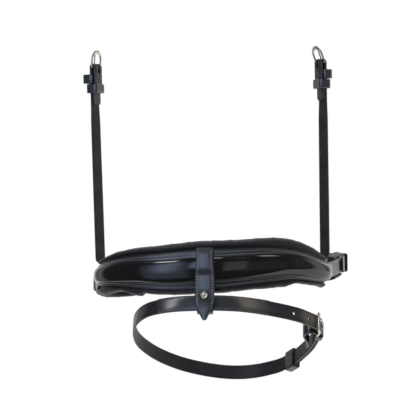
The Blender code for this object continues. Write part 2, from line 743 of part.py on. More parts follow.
    def tongue_hole(self, obj, name):
        """Cuts the hole that the tongue passes, at the place where it crosses the billet."""
        reaches = np.linspace(-self.reach, -self.fold, 60)
        hook = self.bar_radius + GAP + TONGUE_HALF
        tongue = hook + (self.tongue_out - hook) * TONGUE_CLIMB * reaches / -(self.reach + FRAME_ROD * 1.4)
        crossing = reaches[np.argmin(np.abs(tongue - self.billet_out(reaches)))]
        self.hole_arc = self.bar_arc + self.sense * crossing
        along, out, _ = self.axes(crossing)
        centre = self.spot(crossing, self.billet_out(crossing))
        cut(obj, round_cutter(name, centre, out, HOLE_RADIUS, self.billet * 1.2, along))


def loop_path(side, low, high, corner):
    """Rounded rectangle of (width, out) points for a keeper."""
    path = []
    for at, out, first in ((side, high, 0), (-side, high, 1), (-side, low, 2), (side, low, 3)):
        for turn in np.linspace(0.0, math.pi / 2, 3) + first * math.pi / 2:
            centre_at = at - math.copysign(corner, at)
            centre_out = out - corner if out == high else out + corner
            path.append((centre_at + corner * math.cos(turn), centre_out + corner * math.sin(turn)))
    return np.array(path)


def open_path(side, outer, tuck, corner):
    """Path of a keeper whose two ends turn in between the plies."""
    near, ease = side - corner, corner * 0.3
    half = [(near - tuck, 0.0), (near, 0.0), (side - ease, ease), (side, corner)]
    half += [(side, outer - corner), (side - ease, outer - ease), (near, outer)]
    return np.array(half + [(-x, y) for x, y in half[::-1]])


def keeper_rows(path, half_long, half_thick, closed):
    """Rings of a keeper's band as (along, out, width), for a path of (width, out) points."""
    if closed:
        step = np.roll(path, -1, axis=0) - np.roll(path, 1, axis=0)
    else:
        step = np.gradient(path, axis=0)
    step = unit(step)
    ease = half_thick * KEEPER_EASE_SHARE
    flat, edge = half_long - ease, half_thick - ease
    half = half_thick
    section = [(-half_long, -edge), (-half_long, edge), (-flat, half), (0.0, half), (flat, half)]
    section += [(half_long, edge), (half_long, -edge), (flat, -half), (0.0, -half), (-flat, -half)]
    along, lift = np.array(section).T
    out = path[:, 1, None] - step[:, 0, None] * lift
    wide = path[:, 0, None] + step[:, 1, None] * lift
    return np.stack([np.broadcast_to(along, out.shape), out, wide], axis=-1)


def billet_holes(obj, name, centres, out, depth):
    """Round holes through a billet."""
    for index, centre in enumerate(centres):
        cut(obj, round_cutter(f"{name}_{index + 1}", centre, out[index], HOLE_RADIUS * 0.8, depth))


def build_chin(ring):
    """Rear closure: chape, frame, tongue, two keepers and the billet that passes under the jaw."""
    inside = BASE_THICKNESS / 2 + GAP
    closure = Closure(
        ring, CHIN_BAR_ARC, -1, CHIN_WIDTH, CHIN_PLY, CHIN_BILLET, CHIN_BAR_RADIUS, inside, CHIN_FRAME_REACH
    )
    route = np.array(closure.fold_route(CHIN_OUTER_PLY, CHIN_INNER_PLY))
    arcs = closure.bar_arc + closure.sense * route[:, 0]
    rows = strap_rows(closure.spot(route[:, 0], route[:, 1]), ring.axes(arcs)[2], closure.half, CHIN_PLY / 2)
    chape = loft("chin_chape", "black_leather", rows)
    closure.bar_slot(chape, "chin_slot_cutter")
    closure.frame("chin_buckle_frame")
    tongue = closure.tongue("chin_buckle_tongue")
    set_origin(tongue, closure.spot(0.0))
    low = -closure.fold - CHIN_PLY / 2 - GAP
    high = closure.over + CHIN_BILLET / 2 + GAP
    closure.loop("chin_fixed_keeper", CHIN_FIXED_AT, LOOP_WIDTH, low, high)
    runner = closure.loop("chin_runner_keeper", CHIN_RUNNER_AT, LOOP_WIDTH, low - GAP, high + GAP)
    set_origin(runner, closure.spot(CHIN_RUNNER_AT))
    build_chin_strap(ring, closure)


def build_chin_strap(ring, closure):
    """The billet, lapped on the off-side wing and carried round the jaw to the buckle."""
    start, end = ring.length - CHIN_LAP, closure.bar_arc - CHIN_TAIL
    frame_arc = closure.bar_arc + closure.reach * 2.2
    carried, buckled_arcs = ring.stations(start, frame_arc), arcs_between(frame_arc, end, FINE_STEP)
    arcs = np.concatenate([carried, buckled_arcs[1:]])
    lap = BASE_THICKNESS / 2 + GAP + CHIN_BILLET / 2
    lap_knots = ((0.0, lap), (CHIN_LAP_END, lap), (CHIN_LAP_END + WING_STEP * 2, 0.0))
    lapped = eased(ring.length - arcs, lap_knots)
    buckled = closure.billet_out((arcs - closure.bar_arc) * closure.sense)
    out = np.where(arcs > frame_arc, lapped, buckled)
    to_tip = (arcs - end) / closure.half
    half = closure.half * np.clip(0.35 + 0.65 * to_tip, 0.0, 1.0)
    rows = strap_rows(ring.place(arcs, out), ring.axes(arcs)[2], half, CHIN_BILLET / 2)
    strap = loft("chin_strap", "black_leather", rows)
    closure.tongue_hole(strap, "chin_hole_cutter")
    holes = closure.hole_arc + CHIN_HOLE_STEP * np.arange(1, CHIN_HOLES + 1)
    billet_holes(strap, "chin_hole_cutter", ring.place(holes), ring.axes(holes)[1], CHIN_BILLET)
    return strap


# The flash strap


def flash_ring():
    """The flash strap's route in its tilted plane, upright across the sling."""
    points = [flash_point(across, deep) for across, deep in FLASH_SHARES]
    ring = Ring(points, None)

    knots = ((0.0, FLASH_SLING_TILT), (FLASH_UNTWIST / 4, FLASH_SLING_TILT), (FLASH_UNTWIST, FLASH_TILT))

    def up(arc):
        off = np.mod(np.asarray(arc, float) + ring.length / 2, ring.length) - ring.length / 2
        tilt = eased(np.abs(off), knots)
        return np.stack([np.zeros_like(tilt), np.sin(tilt), np.cos(tilt)], -1)

    ring.up = up
    ring.mark_stations()
    return ring


def build_flash(ring):
    """Flash strap with its folded buckle end, facing, frame, tongue and keepers."""
    inside = FLASH_BAR_RADIUS + GAP
    closure = Closure(
        ring, FLASH_BAR_ARC, 1, FLASH_WIDTH, FLASH_PLY, FLASH_PLY, FLASH_BAR_RADIUS, inside, FLASH_FRAME_REACH
    )
    flat_from = FLASH_RUNNER_AT + FLASH_LOOP_WIDTH
    fold = closure.bowed_route(FLASH_TURN_BACK)
    level = arcs_between(FLASH_TURN_BACK, ring.length - FLASH_FRAME_REACH * 2.2, WING_STEP)
    buckled = arcs_between(level[-1], ring.length + FLASH_TAIL, WING_STEP / 2.2)[1:]
    knots = ((FLASH_TURN_BACK, closure.fold), (flat_from, closure.fold), (flat_from + WING_STEP * 3, 0.0))
    route = fold + list(zip(level, eased(level, knots)))
    route += [(reach, float(closure.billet_out(reach - ring.length))) for reach in buckled]
    route = np.array(route)
    centres = closure.spot(route[:, 0], route[:, 1])
    widths = closure.axes(route[:, 0])[2]
    to_tip = (route[-1, 0] - route[:, 0]) / closure.half
    half = closure.half * np.clip(0.35 + 0.65 * to_tip, 0.0, 1.0)
    strap = loft("flash_strap", "black_leather", strap_rows(centres, widths, half, FLASH_PLY / 2))
    closure.bar_slot(strap, "flash_slot_cutter")
    closure.tongue_hole(strap, "flash_hole_cutter")
    holes = closure.hole_arc - FLASH_HOLE_STEP * np.arange(1, FLASH_HOLES + 1)
    billet_holes(strap, "flash_hole_cutter", ring.place(holes), ring.axes(holes)[1], FLASH_PLY)
    arcs = arcs_between(-FACING_LEFT, FACING_RIGHT, WING_STEP * 0.8)
    out = FLASH_PLY / 2 + GAP + FLASH_FACING / 2
    rows = strap_rows(ring.place(arcs, out), ring.axes(arcs)[2], closure.half - GAP, FLASH_FACING / 2)
    facing = loft("flash_facing", "black_leather", rows)
    frame = closure.frame("flash_buckle_frame")
    tongue = closure.tongue("flash_buckle_tongue")
    high = closure.over + FLASH_PLY / 2 + GAP
    fixed = closure.open_loop("flash_fixed_keeper", FLASH_FIXED_AT, LOOP_WIDTH, high)
    outer = closure.fold - FLASH_PLY / 2
    low, high = outer - RUN / 2, high + RUN * 2
    runner = closure.loop("flash_runner_keeper", FLASH_RUNNER_AT, FLASH_LOOP_WIDTH, low, high, FLASH_SLACK)
    for obj in (strap, facing, frame, fixed):
        set_origin(obj, ring.spot(0.0))
    set_origin(tongue, closure.spot(0.0))
    set_origin(runner, closure.spot(FLASH_RUNNER_AT))


def flash_point(across, deep):
    """A point of the flash ring's plane from its shares."""
    depth = FLASH_DEPTH * deep
    return np.array([
        FLASH_REACH * across,
        FLASH_Y + depth * math.cos(FLASH_TILT),
        FLASH_Z - depth * math.sin(FLASH_TILT),
    ])


# Tab, sling and stud over the front


def front_of_nose(height):
    """How far the front of the nosepiece stands out at a height from the panel's middle."""
    share = height / PANEL_HALF_FRONT
    padded = PANEL_BACK + PANEL_SKIN + dome(share, PANEL_RISE - PANEL_SKIN)
    return np.where(np.abs(share) <= 1.0, padded, BASE_THICKNESS / 2)


class Front:
    """Places in the middle plane of the nosepiece and in the tilted plane of the sling."""

    def __init__(self, ring):
        self.middle = float(ring.spot(0.0)[2]) - BASE_SINK
        self.normal = np.array([0.0, -math.cos(FLASH_SLING_TILT), math.sin(FLASH_SLING_TILT)])
        self.along = np.array([0.0, math.sin(FLASH_SLING_TILT), math.cos(FLASH_SLING_TILT)])
        self.strap = np.array([0.0, FLASH_Y, FLASH_Z])

    def upright(self, out, height):
        """A point out from the ring and above the panel's middle."""
        return np.array([0.0, -NOSE_DEPTH - out, self.middle + height])

    def tilted(self, out, height):
        """A point out from the flash strap's middle and along its width."""
        return self.strap + self.normal * out + self.along * height


def rounded_route(points, steps=5):
    """A smooth open curve that starts and ends at the first and last points."""
    points = np.array(points)
    first, last = 2 * points[0] - points[1], 2 * points[-1] - points[-2]
    padded = np.vstack([first, points, last])
    rows = []
    for a, b, c, d in zip(padded, padded[1:], padded[2:], padded[3:]):
        for share in np.linspace(0.0, 1.0, steps, endpoint=False):
            curve = 2 * b + (c - a) * share + (2 * a - 5 * b + 4 * c - d) * share**2
            rows.append((curve + (3 * b - a - 3 * c + d) * share**3) / 2)
    rows.append(points[-1])
    return np.array(rows)


def over_panel(front, clear, shares=(0.55, 0.0, -0.55)):
    """Points that run down the panel at a clear distance from it."""
    return [
        front.upright(float(front_of_nose(PANEL_HALF_FRONT * share)) + clear, PANEL_HALF_FRONT * share)
        for share in shares
    ]


def build_sling(front):
    """A strap down behind the tab, under the flash strap and up in front of it."""
    half = SLING_THICKNESS / 2
    clear = GAP + half
    back = -SLING_BACK_ROOM - half
    face = SLING_FRONT_ROOM + half
    top = front.upright(BASE_THICKNESS / 2 + clear + GAP, SLING_TOP)
    foot = front.upright(BASE_THICKNESS / 2 + clear + GAP, -BASE_HALF_FRONT)
    points = [top, front.upright(PANEL_BACK + PANEL_SKIN + clear + RUN, PANEL_HALF_FRONT * 1.08)]
    points += over_panel(front, clear + RUN / 2)
    points += [front.upright(PANEL_BACK + PANEL_SKIN + clear + RUN, -PANEL_HALF_FRONT * 1.08), foot]
    points += [front.tilted(back, 0.0), front.tilted(back, -SLING_BELOW)]
    low = -SLING_BELOW - (face - back) * 0.22
    points += [front.tilted(back + (face - back) * 0.25, low), front.tilted(back + (face - back) * 0.75, low)]
    points += [front.tilted(face, -SLING_BELOW), front.tilted(face, 0.0), front.tilted(face, SLING_FRONT_TOP)]
    route = rounded_route(points, 3)
    rows = strap_rows(route, (1.0, 0.0, 0.0), SLING_HALF, half)
    sling = loft("flash_sling", "black_leather", rows)
    stud_at = front.tilted(face, STUD_HEIGHT)
    cut(sling, round_cutter("sling_hole_cutter", stud_at, front.normal, STUD_POST + GAP, SLING_THICKNESS))
    return sling


def tab_widths(route):
    """Half width of the tab by the distance down its route."""
    down = np.concatenate([[0.0], np.cumsum(np.linalg.norm(np.diff(route, axis=0), axis=1))])
    low = down[-1] - (TAB_LENGTH - TAB_TAPER)
    knots = ((0.0, TAB_HALF_TOP), (low * 0.2, TAB_HALF_TOP), (low, TAB_HALF_LOW))
    half = eased(down, knots)
    left = (down[-1] - down) / TAB_WIDEST
    point = TAB_TIP_HALF + (TAB_HALF_LOW - TAB_TIP_HALF) * np.clip(left, 0.0, 1.0) ** 0.8
    return np.minimum(half, point)


def build_tab(front):
    """Pointed tab over the panel, buttoned on the stud."""
    half = TAB_THICKNESS / 2
    sling = GAP + SLING_THICKNESS + RUN / 2
    clear = sling + GAP + half + RUN / 2
    face = SLING_FRONT_ROOM + SLING_THICKNESS + GAP + half
    points = [front.upright(BASE_THICKNESS / 2 + clear + GAP, TAB_TOP)]
    points += [front.upright(PANEL_BACK + PANEL_SKIN + clear + RUN * 2, PANEL_HALF_FRONT * 1.2)]
    points += over_panel(front, clear)
    points += [front.tilted(face, high) for high in (SLING_FRONT_TOP * 1.3, STUD_HEIGHT, -SLING_BELOW)]
    tip = points[-1] + unit(front.along * -1 + np.array([0.0, 0.0, -1.0]) * 0.5) * TAB_WIDEST * 0.65
    points.append(tip)
    route = rounded_route(points, 4)
    rows = strap_rows(route, (1.0, 0.0, 0.0), tab_widths(route), half, edge_share=0.22)
    tab = loft("flash_tab", "black_leather", rows)
    stud_at = front.tilted(face, STUD_HEIGHT)
    hole = round_cutter("tab_hole_cutter", stud_at, front.normal, TAB_HOLE_RADIUS, TAB_THICKNESS, segments=16)
    cut(tab, hole)
    set_origin(tab, points[0] + np.array([0.0, half, 0.0]))


def turned(name, material, centre, axis, profile, around=16):
    """A solid of revolution: profile gives (height along the axis, radius) from end to end."""
    axis = unit(np.array(axis, float))
    side = np.array([1.0, 0.0, 0.0])
    other = np.cross(axis, side)
    turn = 2 * math.pi * np.arange(around) / around
    circle = side[None, :] * np.cos(turn)[:, None] + other[None, :] * np.sin(turn)[:, None]
    rows = [centre + axis * height + circle * radius for height, radius in profile]
    return loft(name, material, rows)


def build_stud(front):
    """Ball stud on the front of the sling and the disc and post behind it."""
    face = SLING_FRONT_ROOM + SLING_THICKNESS
    base = front.tilted(face + GAP, STUD_HEIGHT)
    profile = [(0.0, STUD_BALL * 0.78), (STUD_NECK * 0.3, STUD_BALL * 0.74), (STUD_NECK * 0.45, STUD_NECK)]
    profile.append((STUD_NECK_LENGTH, STUD_NECK))
    lift = math.sqrt(STUD_BALL**2 - STUD_NECK**2)
    for turn in np.linspace(math.asin(STUD_NECK / STUD_BALL), math.pi, 8)[1:-1]:
        profile.append((STUD_NECK_LENGTH + lift - STUD_BALL * math.cos(turn), STUD_BALL * math.sin(turn)))
    profile.append((STUD_NECK_LENGTH + lift + STUD_BALL * 0.985, STUD_BALL * 0.12))
    turned("tab_stud", "silver_metal", base, front.normal, profile)
    start = front.tilted(SLING_FRONT_ROOM - GAP - STUD_DISC_THICKNESS, STUD_HEIGHT)
    rise = STUD_DISC_THICKNESS
    profile = [(0.0, STUD_DISC * 0.94), (rise * 0.3, STUD_DISC), (rise, STUD_DISC), (rise, STUD_POST)]
    profile.append((rise + GAP + SLING_THICKNESS, STUD_POST))
    turned("stud_backing", "silver_metal", start, front.normal, profile, around=12)


# Hangers and their buckles


class Hanger:
    """One cheek hanger in its own axes: x along the width, y outward, z up, from the buckle bar."""

    def __init__(self, side, bar_x, twist, level, tilt, room):
        self.side = side
        self.tilt, self.room = tilt, room
        self.length = HANGER_FOOT + level
        self.label = "left" if side < 0 else "right"
        self.half, self.ply = HANGER_WIDTH / 2, HANGER_PLY
        self.fold = BAR_RADIUS + GAP + HANGER_PLY / 2
        self.thin = HANGER_PLY * TURN_BACK_SHARE
        turn = side * (twist - math.pi / 2)
        self.matrix = (
            Matrix.Translation((side * bar_x, 0.0, level))
            @ Matrix.Rotation(turn, 4, "Z")
            @ Matrix.Rotation(-HANGER_LEAN, 4, "X")
        )
        self.mount = bpy.data.objects.new(f"hanger_axes_{self.label}", None)
        self.mount.matrix_world = self.matrix
        bpy.context.scene.collection.objects.link(self.mount)

    def world(self, out, height, wide=0.0):
        """The world point of a place in the hanger's axes."""
        return np.array(self.matrix @ Vector((wide, out, height)))

    def axis(self, index):
        """A world direction: 0 width, 1 outward, 2 up."""
        return np.array(self.matrix.to_3x3().col[index])

    def seat(self, obj, out=0.0, height=0.0):
        """Parents a piece made in the hanger's axes, with its origin at the given place."""
        obj.data.transform(Matrix.Translation((0.0, -out, -height)))
        obj.parent = self.mount
        obj.location = (0.0, out, height)
        return obj

    def strap(self):
        """Long ply from the sewn foot up to the chape, whose edge it meets behind the fixed keeper."""
        rows, halves = [], []
        bottom = -self.length
        for turn in np.linspace(-80.0, 0.0, 5):
            angle = math.radians(turn)
            rows.append((self.fold, bottom + self.ply / 2 * math.sin(angle)))
            halves.append(max(self.ply / 2 * math.cos(angle), self.ply * 0.12))
        for height in arcs_between(bottom + OVERRUN, -CHAPE_LAP - GAP, HANGER_STEP):
            rows.append((self.fold, height))
            halves.append(self.ply / 2)
        self.hinge = self.world(self.fold, bottom)
        return self.seat_at_hinge(self.layer("strap", rows, halves, self.half), bottom)

    def chape(self):
        """Top of the hanger, folded round the bar and turned back down behind the strap."""
        skived = TURN_BACK_SKIVED / 2
        close = self.fold - self.ply / 2 - GAP
        rows = [(self.fold, height) for height in np.linspace(-CHAPE_LAP, -self.ply, 4)]
        for turn in np.linspace(math.pi / 2, -math.pi / 2, 11):
            rows.append((self.fold * math.sin(turn), self.fold * math.cos(turn)))
        halves = [self.ply / 2] * len(rows)
        knots = ((0.0, -self.fold), (-RUNNER_TOP, -self.fold), (-TURN_BACK_EASE, close - self.thin))
        for height in np.linspace(-self.ply, -TURN_BACK, 9):
            half = float(eased(height, ((0.0, self.ply / 2), (-RUNNER_TOP, self.thin), (-TURN_BACK, skived))))
            rows.append((float(eased(height, knots)), height))
            halves.append(half)
        chape = self.layer("chape", rows, halves, self.tapered(rows))
        slot = box_cutter(
            f"hanger_slot_cutter_{self.label}",
            (0.0, 0.0, (self.fold + self.ply - SLOT_BELOW) / 2),
            ((1, 0, 0), (0, 1, 0), (0, 0, 1)),
            (SLOT_HALF, self.fold + self.ply, (self.fold + self.ply + SLOT_BELOW) / 2),
        )
        slot.parent = self.mount
        cut(chape, slot)
        return self.seat(chape)

    def layer(self, name, rows, halves, half_width):
        """Leather ply through (out, height) rows, with the hanger's twist."""
        centres = np.array([(0.0, out, height) for out, height in rows])
        shape = strap_rows(centres, (1.0, 0.0, 0.0), half_width, np.array(halves))
        return loft(f"hanger_{name}_{self.label}", "black_leather", [self.twisted(row) for row in shape])

    def twisted(self, row):
        """A row of the strap turned about its own middle line, the further down the more."""
        row = np.array(row, float)
        turn = self.side * float(eased(row[:, 2].mean(), TWIST_GROWTH))
        wide, out = row[:, 0].copy(), row[:, 1] - self.fold
        row[:, 0] = wide * math.cos(turn) - out * math.sin(turn)
        row[:, 1] = self.fold + wide * math.sin(turn) + out * math.cos(turn)
        return row

    def foot_width(self):
        """World width direction at the strap's foot."""
        turn = self.side * TWIST_GROWTH[0][1]
        return self.axis(0) * math.cos(turn) + self.axis(1) * math.sin(turn)

    def seat_tilted(self, obj):
        """Seats a piece of the buckle, leaning a little towards the horse."""
        obj.data.transform(Matrix.Rotation(self.tilt, 4, "X"))
        return self.seat(obj)

    def seat_at_hinge(self, obj, bottom):
        return self.seat(obj, self.fold, bottom)

    def tapered(self, rows):
        """Half widths along the strap: full, but drawn in at the turned-back end."""
        halves = np.full(len(rows), self.half)
        halves[-1] = self.half * TURN_BACK_END_SHARE
        return halves

    def frame(self):
        """Arched buckle frame with its bar in the fold."""
        arm = self.half + FRAME_EASE + FRAME_ARM
        arch = FRAME_HEIGHT - FRAME_CROWN * 2 + FRAME_CROWN - arm
        path = [(-arm * 0.55, 0.0, BAR_RADIUS), (0.0, 0.0, BAR_RADIUS), (arm * 0.55, 0.0, BAR_RADIUS)]
        path += [(arm - FRAME_ARM, 0.0, BAR_RADIUS), (arm, FRAME_ARM, FRAME_ARM)]
        for turn in np.linspace(0.0, math.pi, 13):
            swell = math.sin(turn) ** 2
            path.append((
                arm * math.cos(turn),
                arch + arm * math.sin(turn),
                FRAME_ARM + (FRAME_CROWN - FRAME_ARM) * swell,
            ))
        path += [(-arm, FRAME_ARM, FRAME_ARM), (FRAME_ARM - arm, 0.0, BAR_RADIUS)]
        path = np.array(path)
        centres = np.stack([path[:, 0], np.zeros(len(path)), path[:, 1]], 1)
        deep = np.minimum(path[:, 2], FRAME_HALF_DEPTH)
        rows = rod_rows(centres, (0.0, 1.0, 0.0), deep, path[:, 2], closed=True)
        return self.seat_tilted(loft(f"hanger_buckle_frame_{self.label}", "silver_metal", rows, closed=True))

    def tongue(self):
        """Tongue hooked round the bar and resting on the outer face of the crown."""
        hook = BAR_RADIUS + GAP + TONGUE_HOOK_HALF
        rest = FRAME_HALF_DEPTH + GAP + TONGUE_HALF
        turns = np.radians(np.linspace(-230.0, 0.0, 10))
        route = [(hook * math.cos(t), hook * math.sin(t)) for t in turns]
        top = FRAME_HEIGHT - FRAME_CROWN * 0.3
        route += [(hook + (rest - hook) * share, top * share) for share in (0.3, 0.65, 0.9, 1.0)]
        centres = np.array([(0.0, out, height) for out, height in route])
        thin = np.full(len(route), TONGUE_HALF)
        thin[:len(turns)] = TONGUE_HOOK_HALF
        thin[-1] = TONGUE_HALF * 0.65
        wide = thin * 1.2
        wide[:len(turns)] = TONGUE_HOOK_WIDE
        rows = rod_rows(centres, (1.0, 0.0, 0.0), wide, thin, around=6)
        return self.seat_tilted(loft(f"hanger_buckle_tongue_{self.label}", "silver_metal", rows))

    def fixed_keeper(self):
        """Empty keeper standing proud on the outer side, its ends sewn between the plies."""
        side = self.half + GAP + KEEPER_THICKNESS / 2
        outer = self.fold + self.ply / 2 + self.room + KEEPER_THICKNESS / 2
        path = open_path(side, outer, KEEPER_TUCK, KEEPER_THICKNESS)
        grid = keeper_rows(path, KEEPER_HEIGHT / 2, KEEPER_THICKNESS / 2, closed=False)
        rows = self.stand(grid, -KEEPER_TOP - KEEPER_HEIGHT / 2)
        keeper = loft(f"hanger_fixed_keeper_{self.label}", "black_leather", rows)
        return self.seat(keeper, self.fold, -self.length)

    @staticmethod
    def stand(grid, height):
        """Keeper rows turned so that the strap's direction is up."""
        return np.stack([grid[..., 2], grid[..., 1], grid[..., 0] + height], axis=-1)

    def runner_keeper(self):
        """Loose keeper round both plies, with room for one strap more."""
        half_thick = KEEPER_THICKNESS / 2
        side = self.half + RUN + half_thick
        low = -self.fold - self.thin - GAP - half_thick
        high = self.fold + self.ply / 2 + RUNNER_ROOM + half_thick
        path = loop_path(side, low, high, KEEPER_THICKNESS)
        middle = -RUNNER_TOP - KEEPER_HEIGHT / 2
        rows = self.stand(keeper_rows(path, KEEPER_HEIGHT / 2, half_thick, closed=True), middle)
        keeper = loft(f"hanger_runner_keeper_{self.label}", "black_leather", rows, closed=True)
        return self.seat(keeper, 0.0, middle)

    def tail(self, ring):
        """Sewn lower end, turned from the hanger's plane into the nosepiece between its layers."""
        arc = self.side * HANGER_ARC
        along, outward, _ = ring.axes(arc)
        seat = ring.spot(arc) - outward * TAIL_INSET
        top = self.world(self.fold, -self.length - self.ply / 2 - TAIL_TOP_GAP)
        down = (0.0, 0.05, 0.11, 0.18, 0.26, 0.6, 1.0)
        foot = np.array([seat[0], seat[1], top[2] - TAIL_DEPTH])
        width = self.foot_width() * -1
        if width @ along < 0:
            width = -width
        rows = []
        for share in down:
            depth = share * TAIL_DEPTH
            turned_share = float(eased(depth, ((0.0, 0.0), (TAIL_LEAD, 0.0), (TAIL_TWIST_END, 1.0))))
            centre = top + (foot - top) * np.array([turned_share, turned_share, share])
            direction = unit(width * (1 - turned_share) + along * turned_share)
            rows.append((centre, direction))
        centres = np.array([row[0] for row in rows])
        widths = np.array([row[1] for row in rows])
        shape = strap_rows(centres, widths, self.half, self.ply / 2)
        return loft(f"hanger_tail_{self.label}", "black_leather", shape)

    def build(self, ring):
        self.strap()
        self.chape()
        self.frame()
        self.tongue()
        self.fixed_keeper()
        self.runner_keeper()
        self.tail(ring)


def main():
    clear_scene()
    ring = noseband_ring()
    build_nose_leather(ring)
    build_panel(ring)
    build_filler(ring)
    build_lining(ring)
    build_chin(ring)
    build_flash(flash_ring())
    front = Front(ring)
    build_sling(front)
    build_tab(front)
    build_stud(front)
    left = (HANGER_BAR_X_LEFT, HANGER_TWIST_LEFT, HANGER_BAR_LEVEL_LEFT, FRAME_TILT_LEFT)
    right = (HANGER_BAR_X_RIGHT, HANGER_TWIST_RIGHT, HANGER_BAR_LEVEL_RIGHT, FRAME_TILT_RIGHT)
    Hanger(-1, *left, KEEPER_ROOM_LEFT).build(ring)
    Hanger(1, *right, KEEPER_ROOM_RIGHT).build(ring)


main()
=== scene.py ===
"""Looks of a black leather flash noseband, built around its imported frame.

The nosepiece, hangers, flash strap and rear closure are modelled as fine leather pieces that
stand for the plain solids of the frame, and every piece carries a procedural finish.
"""
import logging
import math
from dataclasses import dataclass
from enum import Enum
from typing import Any, Callable, Optional, Sequence

import bmesh
import bpy
import numpy as np
from mathutils import Matrix, Vector


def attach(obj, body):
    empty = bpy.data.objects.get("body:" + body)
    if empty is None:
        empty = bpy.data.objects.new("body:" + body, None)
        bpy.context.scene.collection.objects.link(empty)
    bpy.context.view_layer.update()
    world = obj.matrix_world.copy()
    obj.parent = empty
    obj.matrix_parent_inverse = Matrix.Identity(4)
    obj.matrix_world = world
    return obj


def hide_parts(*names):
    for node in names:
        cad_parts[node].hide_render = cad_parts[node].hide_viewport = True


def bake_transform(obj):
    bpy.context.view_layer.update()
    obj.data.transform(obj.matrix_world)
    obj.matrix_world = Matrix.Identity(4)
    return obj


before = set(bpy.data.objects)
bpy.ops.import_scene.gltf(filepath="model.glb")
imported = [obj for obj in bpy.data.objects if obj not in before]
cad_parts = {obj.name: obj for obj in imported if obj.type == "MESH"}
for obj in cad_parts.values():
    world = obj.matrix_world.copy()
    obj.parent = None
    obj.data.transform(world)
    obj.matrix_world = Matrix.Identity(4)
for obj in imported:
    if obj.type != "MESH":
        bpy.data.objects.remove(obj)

LOG = logging.getLogger("noseband")
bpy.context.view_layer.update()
Socket = bpy.types.NodeSocket
Piece = bpy.types.Object

GAP = 0.0003
RUN = 0.0006
STATION = 0.0015
THREAD_STEP = 0.001
HANGER_ARC = 0.1493
SHARP_ANGLE = math.radians(48.0)
X_AXIS = np.array([1.0, 0.0, 0.0])
WHITE = (1.0, 1.0, 1.0)
EDGES = (("upper", 1.0), ("lower", -1.0))


# Small geometry helpers


def unit(vectors: np.ndarray) -> np.ndarray:
    """Rows scaled to length 1."""
    return vectors / np.linalg.norm(vectors, axis=-1, keepdims=True)


def tangents(path: np.ndarray, closed: bool = False) -> np.ndarray:
    """Unit directions along a path's rows, from each row's neighbours."""
    if closed:
        return unit(np.roll(path, -1, axis=0) - np.roll(path, 1, axis=0))
    return unit(np.gradient(path, axis=0))


def quarter(count: int) -> np.ndarray:
    """Angles over a quarter turn."""
    return np.linspace(0.0, math.pi / 2, count)


def eased(value: np.ndarray, knots: Sequence[tuple]) -> np.ndarray:
    """Reads a value from (place, amount) knots, with level ends at each knot.

    Args:
        value: one place or an array of places.
        knots: (place, amount) pairs in any order.

    Returns:
        The amounts at those places.
    """
    places, amounts = (np.array(column, float) for column in zip(*knots))
    order = np.argsort(places)
    places, amounts = places[order], amounts[order]
    value = np.clip(value, places[0], places[-1])
    left = np.clip(np.searchsorted(places, value, side="right") - 1, 0, len(places) - 2)
    share = (value - places[left]) / (places[left + 1] - places[left])
    return amounts[left] + (amounts[left + 1] - amounts[left]) * share * share * (3 - 2 * share)


def curve_rows(a: np.ndarray, b: np.ndarray, c: np.ndarray, d: np.ndarray, steps: int) -> np.ndarray:
    """Dense rows of the Catmull-Rom curve from each b to its c.

    Args:
        a: rows before b.
        b: rows that the pieces of the curve start at.
        c: rows that they end at.
        d: rows after c.
        steps: rows made from each b on.

    Returns:
        The rows, in order along the second last axis.
    """
    share = np.linspace(0.0, 1.0, steps, endpoint=False)[:, None]
    a, b, c, d = (rows[..., None, :] for rows in (a, b, c, d))
    curve = 2 * b + (c - a) * share + (2 * a - 5 * b + 4 * c - d) * share**2
    curve = (curve + (3 * b - a - 3 * c + d) * share**3) / 2
    return curve.reshape(*curve.shape[:-3], -1, curve.shape[-1])


def smooth_ring(points: np.ndarray, steps: int = 24) -> np.ndarray:
    """A closed smooth curve through the points, or one for each ring of a stack."""
    points = np.array(points, float)
    before, after, beyond = (np.roll(points, -k, axis=-2) for k in (-1, 1, 2))
    return curve_rows(before, points, after, beyond, steps)


def smooth_route(points: np.ndarray, steps: int = 5) -> np.ndarray:
    """A smooth open curve that starts and ends at the first and last points.

    Args:
        points: rows of points.
        steps: rows to a span.

    Returns:
        The dense rows.
    """
    points = np.array(points, float)
    padded = np.vstack([2 * points[0] - points[1], points, 2 * points[-1] - points[-2]])
    rows = curve_rows(*(padded[k:len(padded) - 3 + k] for k in range(4)), steps)
    return np.vstack([rows, points[-1]])


def run_length(points: np.ndarray) -> np.ndarray:
    """Distance travelled along the rows of points."""
    return np.concatenate([[0.0], np.cumsum(np.linalg.norm(np.diff(points, axis=0), axis=1))])


def read_rows(places: np.ndarray, down: np.ndarray, rows: np.ndarray) -> np.ndarray:
    """Rows read at places along a line, from rows that lie at the distances down it."""
    return np.stack([np.interp(places, down, column) for column in rows.T], -1)


def arcs_between(start: float, end: float, step: float) -> np.ndarray:
    """Arc lengths from start to end at about the given step."""
    return np.linspace(start, end, max(2, int(round(abs(end - start) / step)) + 1))


def evenly(points: np.ndarray, step: float) -> np.ndarray:
    """The open curve's points spaced evenly at about the given step."""
    down = run_length(points)
    return read_rows(arcs_between(0.0, down[-1], step), down, points)


def filled(path: np.ndarray, step: float) -> np.ndarray:
    """A closed path with points added on its straights.

    Args:
        path: its rows, which start with the two places.
        step: least distance between the points.

    Returns:
        Rows that divide each side of the path evenly.
    """
    side = np.roll(path, -1, axis=0) - path
    count = np.maximum(1, (np.linalg.norm(side[:, :2], axis=1) / step).astype(int))
    at = np.repeat(np.arange(len(path)), count)
    share = (np.arange(len(at)) - np.repeat(np.cumsum(count) - count, count)) / count[at]
    return path[at] + side[at] * share[:, None]


